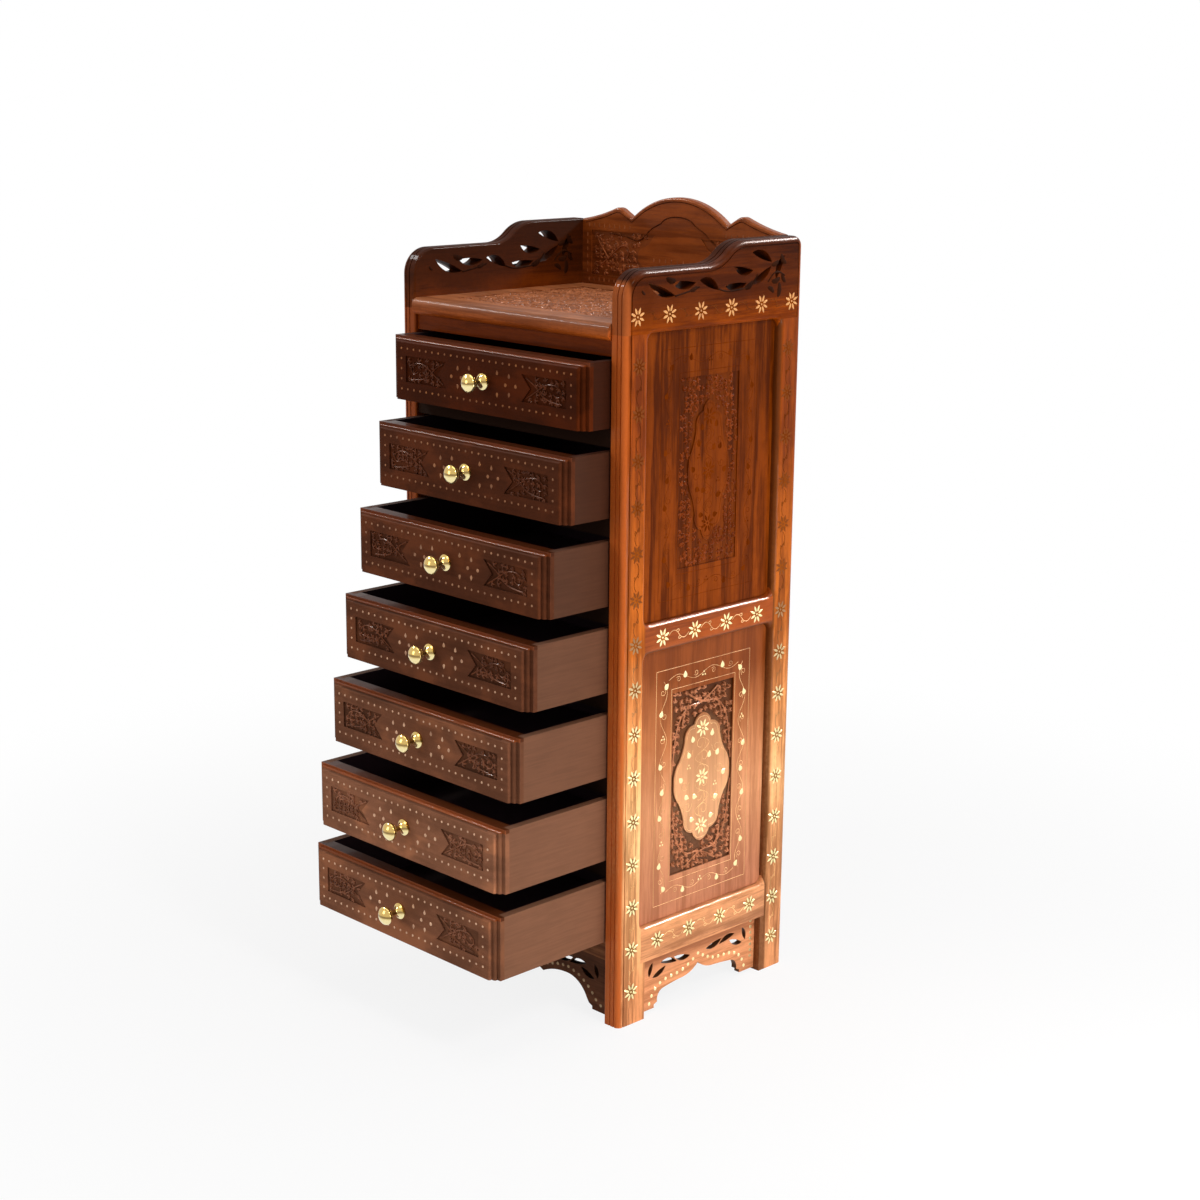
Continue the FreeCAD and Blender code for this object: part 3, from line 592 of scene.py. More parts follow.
# The back posts' tones made paler for the front posts: painted light.
FRONT_POST_TONES = tuple((height, tuple(min(1.0, 1.14 * c) for c in tone)) for height, tone in POST_TONES)
BRIGHT_BRASS = (0.95, 0.83, 0.45)
# Painted shade on walls turned from the light: the back posts' walls beside the panels and the middle rail's
# underside.
WALL_PAINTED_SHADE = (0.10, 0.028, 0.006)
# The front faces of the front posts, painted paler on the right than on the left: painted light and shade.
POST_EDGES = {"right": (0.62, 0.130, 0.022), "left": (0.36, 0.070, 0.010)}
# Painted shade on the walls of the gallery's pierced holes.
GALLERY_HOLES = PaintedLightBand(Axis.ACROSS, 0.186, 0.181, 0.5, dull=0.40)
# The right gallery's front edge painted paler as painted light; the left gallery has none.
GALLERY_RIMS = {"right": PaintedLightBand(Axis.DEPTH, 0.1360, 0.1420, 0.85, (0.47, 0.113, 0.027)), "left": None}

SHARED_FINISHES: tuple[Finish, ...] = (
    Brass("inlay_brass", BRIGHT_BRASS, (0.74, 0.54, 0.22), worn=0.62, roughness=0.36),
    # Dimmer than the bright brass: painted shade high on the chest.
    Brass("gallery_inlay_brass", (0.58, 0.29, 0.105), (0.36, 0.150, 0.046), worn=0.55, roughness=0.46),
    # Above the given heights these flowers darken to the wood's tone: painted shade.
    Brass(
        "post_inlay_brass", BRIGHT_BRASS, (0.20, 0.047, 0.006), worn=0.66, roughness=0.36, painted_shade_heights=(0.27, 0.53)
    ),
    # Dimmer brass for the front apron's studs: painted shade on the front.
    Brass("dim_inlay_brass", (0.30, 0.20, 0.11), (0.17, 0.09, 0.04)),
    PolishedWood("post_inlay_wire", Axis.UP, WIRE_TONES, roughness=0.85, coat=0.0, gloss=0.02),
    PolishedWood("flower_ground", Axis.UP, GROUND_TONES, roughness=0.70, coat=0.0, gloss=0.02),
    one_tone("faint_inlay", (0.16, 0.027, 0.002), coat=0.0, gloss=0.0, roughness=0.80),
    one_tone("inlay_wire", (1.0, 0.62, 0.29), coat=0.0),
    one_tone("crest_inlay", (0.36, 0.110, 0.036), coat=0.05),
    # Dark lines of painted shade in the crest's carved grooves.
    one_tone("crest_line", (0.095, 0.021, 0.005), coat=0.0, gloss=0.02, roughness=0.80),
    # Near-black stems and leaves of painted shade in the gallery's carved grooves.
    one_tone("stained_cut", (0.030, 0.008, 0.003), coat=0.0, gloss=0.02, roughness=0.85),
    # The lower carving's paler tone and the upper carving's darker one carry the panels' painted light and
    # shade.
    one_tone("lower_carving_wood", (0.52, 0.200, 0.095), coat=0.04),
    one_tone("upper_carving_wood", (0.21, 0.038, 0.006), coat=0.06),
    one_tone("crest_carving_wood", (0.31, 0.085, 0.027), coat=0.06),
    one_tone("top_carving_wood", (0.36, 0.120, 0.048), coat=0.03),
)

CASE_FINISHES: dict[Finish, tuple[str, ...]] = {
    PolishedWood(
        "back_post_wood", Axis.UP, contrast=0.50, gloss=0.10, coat=0.10,
        # Painted shade on the back posts' walls beside the panels.
        sunk=PaintedLightBand(Axis.DEPTH, 0.1150, 0.1105, 0.80, WALL_PAINTED_SHADE),
    ): both("back_post"),
    PolishedWood(
        "rail_wood", Axis.DEPTH, RAIL_TONES, coat=0.30, shift=(0.3, 0.1, 0.7)
    ): both("bottom_rail"),
    PolishedWood(
        "middle_rail_wood", Axis.DEPTH, RAIL_TONES, coat=0.24, shift=(0.3, 0.1, 0.7),
        # Painted shade on the middle rail's underside.
        sunk=PaintedLightBand(Axis.UP, 0.4535, 0.4480, 0.80, WALL_PAINTED_SHADE),
    ): both("middle_rail"),
    PolishedWood(
        "apron_wood", Axis.DEPTH, APRON_TONES, contrast=0.26, wander=0.02, shift=(0.1, 0.6, 0.4),
        # Painted shade on the walls of the apron's cut-outs.
        sunk=PaintedLightBand(Axis.ACROSS, 0.1813, 0.1805, 0.90, (0.030, 0.010, 0.004)),
    ): both("side_apron"),
    PolishedWood(
        "lower_panel_wood", Axis.UP, LOWER_TONES, contrast=0.20, shift=(0.5, 0.8, 0.1),
        # Painted shade on the carved ground.
        sunk=PaintedLightBand(Axis.ACROSS, 0.181, 0.179, 0.8), patch=Patch(0.050, 0.276, 0.082),
    ): both("lower_panel"),
    PolishedWood(
        "upper_panel_wood", Axis.UP, UPPER_TONES, contrast=0.58, coat=0.04, gloss=0.05,
        # Painted shade on the carved ground.
        shift=(0.2, 0.6, 0.4), sunk=PaintedLightBand(Axis.ACROSS, 0.1812, 0.1802, 0.25),
    ): both("upper_panel"),
    PolishedWood(
        "top_wood", Axis.ACROSS, TOP_TONES, roughness=0.42, coat=0.06, gloss=0.12, wander=0.0,
        # Painted shade on the carved ground.
        shift=(0.2, 0.7, 0.5), sunk=PaintedLightBand(Axis.UP, 0.8244, 0.8234, 0.22),
    ): ("top_board",),
    PolishedWood(
        "crest_wood", Axis.ACROSS, CREST_TONES, shift=(0.4, 0.4, 0.9),
        # Painted shade on the carved ground.
        sunk=PaintedLightBand(Axis.DEPTH, 0.1332, 0.1344, 0.22),
    ): ("crest_board",),
    PolishedWood(
        "front_rail_wood", Axis.ACROSS, FRONT_TONES, coat=0.05, gloss=0.05, shift=(0.6, 0.1, 0.1)
    ): ("frieze_rail", "base_rail"),
    PolishedWood(
        "front_apron_wood", Axis.ACROSS, FRONT_APRON_TONES, contrast=0.30, coat=0.03, gloss=0.05,
        # Painted shade on the walls of the front apron's cut-outs.
        sunk=PaintedLightBand(Axis.DEPTH, 0.1318, 0.1310, 0.90, (0.020, 0.007, 0.003)),
    ): ("front_apron",),
    PolishedWood(
        "back_wood", Axis.ACROSS, BACK_TONES, coat=0.1, shift=(0.9, 0.4, 0.2)
    ): ("back_rail", "back_panel"),
    # Near-black painted shade on the dividers and runners inside the case.
    BoxWood(
        "inner_wood", (0.05, 0.022, 0.012), (0.03, 0.012, 0.007), inside=0.2
    ): ("drawer_dividers", "drawer_runners"),
    **{
        PolishedWood(
            f"front_post_{side}_wood", Axis.UP, FRONT_POST_TONES, contrast=0.50, coat=0.10, gloss=0.10,
            sunk=PaintedLightBand(Axis.DEPTH, 0.1385, 0.1425, 0.85, POST_EDGES[side]),
        ): (f"front_post_{side}",)
        for side in SIDES
    },
    **{
        PolishedWood(
            f"gallery_{side}_wood", Axis.DEPTH, GALLERY_TONES, coat=0.06, gloss=0.04, sunk=GALLERY_HOLES,
            edge=GALLERY_RIMS[side], shift=(0.8, 0.5, 0.2),
        ): (f"gallery_{side}",)
        for side in SIDES
    },
}


def dress(name: str, finish: bpy.types.Material) -> None:
    """Gives one solid its finish.

    Args:
        name: the solid's node.
        finish: the material.
    """
    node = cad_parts[name]
    node.data.materials.clear()
    node.data.materials.append(finish)
    log.info("finished %s in %s", name, finish.name)


@dataclass
class Cabinet:
    """The fixed solids of the case, by the finish that they wear."""

    finishes: dict[Finish, tuple[str, ...]]

    def build(self) -> None:
        """Dresses every solid that is not a drawer's own."""
        for finish, names in self.finishes.items():
            material = finish.material()
            for name in names:
                dress(name, material)


@dataclass(frozen=True)
class Lamp:
    """A soft lamp: where it hangs, what it faces, its size and its power in watts."""

    name: str
    place: Triple
    aim: Triple
    size: Point
    power: float
    glint: bool = False

    def hang(self) -> None:
        """Hangs the lamp; only polish answers a lamp that is a glint."""
        light = bpy.data.lights.new(self.name, "AREA")
        light.shape = "RECTANGLE"
        light.size, light.size_y = self.size
        light.energy = self.power
        lamp = bpy.data.objects.new(self.name, light)
        turn = (Vector(self.aim) - Vector(self.place)).to_track_quat("-Z", "Y")
        lamp.matrix_world = Matrix.Translation(self.place) @ turn.to_matrix().to_4x4()
        lamp.visible_camera = False
        lamp.visible_diffuse = not self.glint
        bpy.context.scene.collection.objects.link(lamp)


@dataclass
class Stage:
    """The camera of the photograph, a pale floor and soft studio light."""

    azimuth: float = 45.47
    elevation: float = 14.02
    roll: float = 0.55
    position: Triple = (1.85239, -1.81627, 1.10677)
    lens: float = 65.44
    sensor: float = 36.0
    floor_size: float = 40.0
    floor_colour: Colour = (0.86, 0.85, 0.84)
    floor_shade: Colour = (0.80, 0.79, 0.78)
    cloth_waves: float = 3.0
    cloth_share: float = 0.04
    shadow: float = 0.14
    shadow_reach: Point = (0.35, 1.4)
    sky_light: Colour = (0.30, 0.30, 0.31)
    lamps: tuple[Lamp, ...] = (
        Lamp("low_side", (1.15, 0.05, 0.26), (0.19, 0.0, 0.26), (0.8, 0.4), 6.5),
        Lamp("key", (1.75, -0.25, 2.05), (0.10, 0.0, 0.60), (0.35, 0.50), 16.0),
        Lamp("overhead", (0.2, 0.1, 2.3), (0.0, 0.0, 0.9), (1.2, 1.2), 12.0),
        Lamp("front", (-0.7, -2.3, 1.1), (0.0, 0.0, 0.4), (0.8, 1.0), 9.0),
        Lamp("side_glint", (0.80, 1.55, 2.0), (0.19, 0.0, 0.5), (1.20, 0.25), 160.0, True),
        Lamp("front_glint", (-1.45, -0.75, 1.95), (0.0, -0.2, 0.5), (1.00, 0.20), 36.0, True),
    )

    def camera(self) -> None:
        """Makes the camera and turns it to the photograph's view."""
        turn, rise, roll = (math.radians(a) for a in (self.azimuth, self.elevation, self.roll))
        lens = bpy.data.cameras.new("camera")
        lens.lens = self.lens
        lens.sensor_width = self.sensor
        camera = bpy.data.objects.new("camera", lens)
        tilted = Matrix.Rotation(math.pi / 2 - rise, 4, "X") @ Matrix.Rotation(roll, 4, "Z")
        camera.matrix_world = Matrix.Translation(self.position) @ Matrix.Rotation(turn, 4, "Z") @ tilted
        bpy.context.scene.collection.objects.link(camera)
        bpy.context.scene.camera = camera

    def floor(self) -> None:
        """Lays the floor, which is white to the eye and still takes the chest's shadow."""
        shape = bmesh.new()
        bmesh.ops.create_grid(shape, x_segments=1, y_segments=1, size=self.floor_size / 2)
        mesh = bpy.data.meshes.new("floor")
        shape.to_mesh(mesh)
        shape.free()
        graph, material = Graph.of_material("pale_floor")
        cloth = graph.noise(graph.place(), self.cloth_waves, 2.0)
        tone = graph.mix(cloth * self.cloth_share, self.floor_colour, self.floor_shade)
        diffuse = graph.node("ShaderNodeBsdfDiffuse", None, {"Color": tone})
        glow = graph.node("ShaderNodeEmission", None, {"Color": WHITE, "Strength": 1.0})
        away = graph.node("ShaderNodeVectorMath", {"operation": "LENGTH"}, {0: graph.place()}, "Value")
        share = self.seen(graph) * (1.0 - self.shadow + (self.shadow * away.between(*self.shadow_reach)))
        mixed = graph.node("ShaderNodeMixShader", None, {0: share, 1: diffuse, 2: glow})
        graph.node("ShaderNodeOutputMaterial", None, {"Surface": mixed})
        mesh.materials.append(material)
        floor = bpy.data.objects.new("floor", mesh)
        bpy.context.scene.collection.objects.link(floor)

    def seen(self, graph: Graph) -> Socket:
        """Tells the rays that look at the background from those that light the chest.

        Args:
            graph: the graph that asks.

        Returns:
            1 for camera, glossy and transmission rays.
        """
        camera = graph.node("ShaderNodeLightPath", output="Is Camera Ray")
        rays = camera.output.node.outputs
        glossy, through = (Socket(graph, rays[n]) for n in ("Is Glossy Ray", "Is Transmission Ray"))
        return camera.math("MAXIMUM", camera, camera.math("MAXIMUM", glossy, through))

    def sky(self) -> None:
        """Makes the world: soft grey light, and white where it is looked at."""
        world = bpy.data.worlds.new("studio")
        world.use_nodes = True
        bpy.context.scene.world = world
        graph = Graph(world.node_tree)
        tone = graph.mix(self.seen(graph), self.sky_light, WHITE)
        light = graph.node("ShaderNodeBackground", None, {"Color": tone, "Strength": 1.0})
        graph.node("ShaderNodeOutputWorld", None, {"Surface": light})

    def build(self) -> None:
        """Sets the whole stage."""
        bpy.context.scene.view_settings.view_transform = "Standard"
        self.camera()
        self.floor()
        self.sky()
        for lamp in self.lamps:
            lamp.hang()


@dataclass(frozen=True)
class Face:
    """A flat face that looks along an axis, or against it; level is how far out it lies, in millimetres."""

    axis: Axis
    sign: int
    level: float

    def axes(self) -> tuple[Vector, Vector, Vector]:
        """Finds the directions along the face, up it and out of it.

        Returns:
            The three directions.
        """
        along = Vector((0.0, 1.0, 0.0) if self.axis is Axis.ACROSS else (1.0, 0.0, 0.0))
        up = Vector((0.0, 1.0, 0.0) if self.axis is Axis.UP else (0.0, 0.0, 1.0))
        return along, up, Vector([float(self.sign) if axis is self.axis else 0.0 for axis in Axis])

    def point(self, u: float, v: float, lift: float = 0.0) -> Vector:
        """A place in metres, so far along the face, up it and above it."""
        along, up, out = self.axes()
        return (out * (self.level + lift) + along * u + up * v) * MM

    def line(self, spots: Iterable[Point], centre: Point = (0.0, 0.0), lift: float = 0.0) -> list[Vector]:
        """Carries a line that is drawn round a centre onto the face."""
        return [self.point(centre[0] + u, centre[1] + v, lift) for u, v in spots]

    def matrix(self, u: float, v: float, turn: float = 0.0, size: float = 1.0, lift: float = 0.0) -> Matrix:
        """Carries a punch to a place on the face.

        Args:
            u: the distance along the face.
            v: the distance up the face.
            turn: the punch's direction, in radians from along towards up.
            size: how much the punch is enlarged.
            lift: the height above the face.

        Returns:
            The matrix.
        """
        along, up, out = self.axes()
        across = up.cross(out)
        if across.dot(along) < 0:
            turn = math.pi - turn
        axes = Matrix((across, up, out)).transposed().to_4x4()
        spun = axes @ Matrix.Rotation(turn, 4, "Z") @ Matrix.Scale(size * MM, 4)
        return Matrix.Translation(self.point(u, v, lift)) @ spun


def flat(along: float, across: Optional[float] = None, height: float = 1.0) -> Matrix:
    """Enlarges a punch along and across its face, and in height."""
    return Matrix.Diagonal((along, across or along, height, 1.0))


def stamp(shape: bmesh.types.BMesh, punch: bpy.types.Mesh, matrix: Matrix) -> None:
    """Adds a copy of a punch to a shape.

    Args:
        shape: the shape that grows.
        punch: the punch.
        matrix: where the copy goes.
    """
    before = len(shape.verts)
    shape.from_mesh(punch)
    shape.verts.ensure_lookup_table()
    bmesh.ops.transform(shape, matrix=matrix, verts=shape.verts[before:])


class Punches:
    """The small shapes that are set into the wood or cut from it, each made once."""

    stud_height: float = 0.5
    stud_top: float = 0.86
    tip_from: float = 0.80
    tip_width: float = 0.15
    blade_height: float = 0.34
    blade_curl: float = 0.22
    blade_rings: int = 4
    blade_sides: int = 6
    fan_leaves: tuple[Point, ...] = ((0.0, 1.0), (0.95, 0.78), (-0.95, 0.78))
    stalk: float = 0.85

    def __init__(self) -> None:
        """Makes every punch, in millimetres, lying on its face and pointing along."""
        self.dot = self.stud(8, (1.0, 1.0), 0.0)
        self.disc = self.stud(12, (8.6, 8.6), 0.0)
        self.drop = self.stud(10, (1.0, 1.08), 0.70)
        self.petal = self.stud(8, (1.0, 0.43), 0.25)
        self.flower = self.ring(self.petal, 8, 6.5, 3.9, (self.dot, 1.4))
        self.triple = self.ring(self.dot, 3, 2.4, 1.2)
        self.leaf = self.blade(0.42)
        self.sprig = self.fan(self.leaf)

    def keep(self, shape: bmesh.types.BMesh, name: str) -> bpy.types.Mesh:
        """Turns a shape into a mesh that can be stamped.

        Args:
            shape: the finished shape.
            name: the mesh's name.

        Returns:
            The mesh.
        """
        bmesh.ops.recalc_face_normals(shape, faces=shape.faces)
        mesh = bpy.data.meshes.new(name)
        shape.to_mesh(mesh)
        shape.free()
        return mesh

    def stud(self, sides: int, scale: Point, point: float) -> bpy.types.Mesh:
        """A low stud of inlay, round or drawn out to a point.

        Args:
            sides: the number of its sides.
            scale: its half length and half width.
            point: how far its tip is drawn out.

        Returns:
            The mesh.
        """
        shape = bmesh.new()
        bmesh.ops.create_cone(
            shape, cap_ends=True, segments=sides, radius1=1.0, radius2=self.stud_top, depth=self.stud_height
        )
        bmesh.ops.scale(shape, vec=(*scale, 1.0), verts=shape.verts)
        far = max(v.co.x for v in shape.verts)
        tip = [v for v in shape.verts if v.co.x > far * self.tip_from]
        bmesh.ops.translate(shape, vec=(point, 0.0, 0.0), verts=tip)
        bmesh.ops.scale(shape, vec=(1.0, self.tip_width if point else 1.0, 1.0), verts=tip)
        return self.keep(shape, "stud")

    def ring(
        self,
        punch: bpy.types.Mesh,
        count: int,
        radius: float,
        size: float,
        middle: Optional[tuple[bpy.types.Mesh, float]] = None,
    ) -> bpy.types.Mesh:
        """Sets copies of a punch in a ring.

        Args:
            punch: the punch to repeat.
            count: how many copies.
            radius: the ring's radius.
            size: each copy's size.
            middle: what stands in the middle, if anything, and its size.

        Returns:
            The mesh.
        """
        shape = bmesh.new()
        for i in range(count):
            turn = Matrix.Rotation(math.tau * (i + 0.5) / count, 4, "Z")
            stamp(shape, punch, turn @ Matrix.Translation((radius, 0.0, 0.0)) @ flat(size))
        if middle:
            stamp(shape, middle[0], flat(middle[1]))
        return self.keep(shape, "ring")

    def blade(self, width: float) -> bpy.types.Mesh:
        """A carved leaf: a spindle that lies along the face and curls to one side.

        Args:
            width: its half width for a half length of 1.

        Returns:
            The mesh.
        """
        shape = bmesh.new()
        bmesh.ops.create_uvsphere(
            shape, u_segments=self.blade_sides, v_segments=self.blade_rings, radius=1.0
        )
        lying = Matrix.Rotation(math.pi / 2, 3, "Y")
        bmesh.ops.rotate(shape, cent=(0, 0, 0), matrix=lying, verts=shape.verts)
        bmesh.ops.scale(shape, vec=(1.0, width, self.blade_height), verts=shape.verts)
        for vertex in shape.verts:
            vertex.co.y += self.blade_curl * vertex.co.x * vertex.co.x
        return self.keep(shape, "blade")

    def fan(self, leaf: bpy.types.Mesh) -> bpy.types.Mesh:
        """Sets three leaves on one stalk.

        Args:
            leaf: the leaf to repeat.

        Returns:
            The mesh.
        """
        shape = bmesh.new()
        for turn, size in self.fan_leaves:
            spun = Matrix.Rotation(turn, 4, "Z") @ flat(size)
            stamp(shape, leaf, spun @ Matrix.Translation((self.stalk, 0.0, 0.0)))
        return self.keep(shape, "fan")


class Ornament:
    """One piece of ornament that grows, stamp by stamp and wire by wire, in a single mesh."""

    smooth_below: float = math.radians(40.0)

    def __init__(self, name: str) -> None:
        """Starts an empty piece."""
        self.name = name
        self.shape = bmesh.new()

    def add(self, punch: bpy.types.Mesh, matrix: Matrix) -> None:
        """Stamps a punch at a place."""
        stamp(self.shape, punch, matrix)

    def wire(self, points: Sequence[Vector], radius: float, closed: bool = False) -> None:
        """Lays a smooth wire.

        Args:
            points: the control points of its line, in metres.
            radius: its radius in millimetres.
            closed: whether its ends meet.
        """
        line = bpy.data.curves.new(self.name, "CURVE")
        line.dimensions = "3D"
        line.bevel_depth = radius * MM
        line.bevel_resolution = 0
        line.resolution_u = 3
        line.use_fill_caps = not closed
        spline = line.splines.new("NURBS")
        spline.points.add(len(points) - 1)
        for knot, point in zip(spline.points, points):
            knot.co = (*point, 1.0)
        spline.order_u = 3
        spline.use_endpoint_u = not closed
        spline.use_cyclic_u = closed
        holder = bpy.data.objects.new(self.name, line)
        mesh = bpy.data.meshes.new_from_object(holder)
        self.shape.from_mesh(mesh)
        bpy.data.meshes.remove(mesh)
        bpy.data.objects.remove(holder)
        bpy.data.curves.remove(line)

    def piece(self, body: str, slot: str, finish: bpy.types.Material) -> None:
        """Ends the piece, dresses it and lets it ride.

        Args:
            body: the body that carries it.
            slot: not used.
            finish: its material.
        """
        mesh = bpy.data.meshes.new(self.name)
        for side in self.shape.faces:
            side.smooth = True
        self.shape.to_mesh(mesh)
        self.shape.free()
        mesh.set_sharp_from_angle(angle=self.smooth_below)
        mesh.materials.append(finish)
        made = bpy.data.objects.new(self.name, mesh)
        bpy.context.scene.collection.objects.link(made)
        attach(made, body)
        log.info("set %s with %d faces on %s", self.name, len(mesh.polygons), body)


@dataclass
class Foliage:
    """Carved leaves and stems that fill a sunk field, clear of its edge and of what stands in it."""

    half: Point
    pitch: float
    depth: float
    seed: int
    margin: float
    clear: Sequence[Point] = ()
    stems: Sequence[Sequence[Point]] = ()
    stem_radius: float = 0.9
    scatter: float = 0.22
    swing: float = 2.2
    waves: Point = (0.55, 0.45)
    lean: float = 0.7
    sizes: Point = (0.36, 0.46)

    def keeps_out(self, u: float, v: float) -> bool:
        """Whether a leaf would cross the field's edge or cover what stands in the field."""
        crosses = any(abs(place) > half - self.margin for place, half in zip((u, v), self.half))
        return crosses or within(self.clear, u, v)

    def cut(self, ornament: Ornament, punches: Punches, face: Face, centre: Point) -> None:
        """Carves the field.

        Args:
            ornament: the piece that grows.
            punches: the stamps.
            face: the face that the field is sunk in.
            centre: the field's middle on the face.
        """
        chance = random.Random(self.seed)
        half_u, half_v = self.half
        columns, rows = (max(1, round(2 * half / self.pitch)) for half in self.half)
        for i in range(columns):
            for j in range(rows):
                column = i + 0.5 + chance.uniform(-self.scatter, self.scatter)
                row = j + 0.5 + chance.uniform(-self.scatter, self.scatter)
                u = -half_u + column * 2 * half_u / columns
                v = -half_v + row * 2 * half_v / rows
                turn = self.swing * math.sin(u / self.pitch * self.waves[0])
                turn += self.swing * math.cos(v / self.pitch * self.waves[1])
                turn += chance.uniform(-self.lean, self.lean)
                size = self.pitch * chance.uniform(*self.sizes)
                if self.keeps_out(u, v):
                    continue
                low = flat(1.0, height=self.depth / (punches.blade_height * size))
                place = face.matrix(centre[0] + u, centre[1] + v, turn, size, -self.depth)
                ornament.add(punches.sprig, place @ low)
        for stem in self.stems:
            ornament.wire(face.line(stem, centre, -self.depth * 0.5), self.stem_radius)


def scalloped(half_u: float, half_v: float) -> list[Point]:
    """The line of a medallion with a crown, a shoulder and a side lobe in each quarter.

    Args:
        half_u: half its width.
        half_v: half its height.

    Returns:
        Control points round it.
    """
    quarter = [(0.20, 0.98), (0.30, 0.84), (0.31, 0.83), (0.54, 0.83), (0.62, 0.63), (0.64, 0.60)]
    quarter += [(0.69, 0.45), (0.82, 0.32), (0.98, 0.21)]
    right = [(0.0, 1.0), *quarter, (1.0, 0.0)] + [(u, -v) for u, v in reversed(quarter)]
    whole = right + [(0.0, -1.0)] + [(-u, v) for u, v in reversed(right[1:])]
    return [(u * half_u, v * half_v) for u, v in whole]


def within(outline: Sequence[Point], u: float, v: float) -> bool:
    """Whether a point lies inside a closed line.

    Args:
        outline: the corners of the line.
        u: the point's first place.
        v: its second place.

    Returns:
        True inside the line.
    """
    inside = False
    for (u0, v0), (u1, v1) in zip(outline, [*outline[1:], *outline[:1]]):
        if (v0 > v) != (v1 > v) and u < u0 + (u1 - u0) * (v - v0) / (v1 - v0):
            inside = not inside
    return inside


def spiral(centre: Point, radius: float, start: float, turns: float) -> list[Point]:
    """A tendril that winds inwards.

    Args:
        centre: its middle.
        radius: its first radius.
        start: its first direction, in radians.
        turns: how often it winds round; less than 0 winds clockwise.

    Returns:
        Control points along it.
    """
    steps, shrink = 8, 0.72
    line = []
    for k in range(steps + 1):
        angle = start + math.tau * turns * k / steps
        reach = radius * (1.0 - shrink * k / steps)
        line.append((centre[0] + reach * math.cos(angle), centre[1] + reach * math.sin(angle)))
    return line


def vine(start: Point, end: Point, bends: int, sway: float) -> list[list[Point]]:
    """A waving stem with a tendril in each bend.

    Args:
        start: where it starts.
        end: where it ends.
        bends: how many bends it has.
        sway: how far each bend leaves the straight line.

    Returns:
        The control points of the stem and of each tendril.
    """
    per_bend, curl, winding = 4, 0.85, 1.2
    ahead, inwards, opening = 0.55, 0.25, 2.6
    first, run = Vector(start), Vector((end[0] - start[0], end[1] - start[1]))
    side = Vector((-run.y, run.x)).normalized()
    steps = per_bend * bends
    waves = [sway * math.sin(math.pi * k / per_bend) for k in range(steps + 1)]
    stem = [first + run * (k / steps) + side * wave for k, wave in enumerate(waves)]
    lines = [[(p.x, p.y) for p in stem]]
    lean = math.atan2(run.y, run.x)
    for bend in range(bends):
        way = 1 if bend % 2 == 0 else -1
        middle = first + run * ((bend + ahead) / bends) - side * (inwards * sway * way)
        lines.append(spiral((middle.x, middle.y), curl * sway, lean + way * opening, -winding * way))
    return lines


@dataclass
class Assembly:
    """What every sub-assembly works with: the punches and the shared finishes."""

    punches: Punches
    finishes: dict[str, bpy.types.Material]


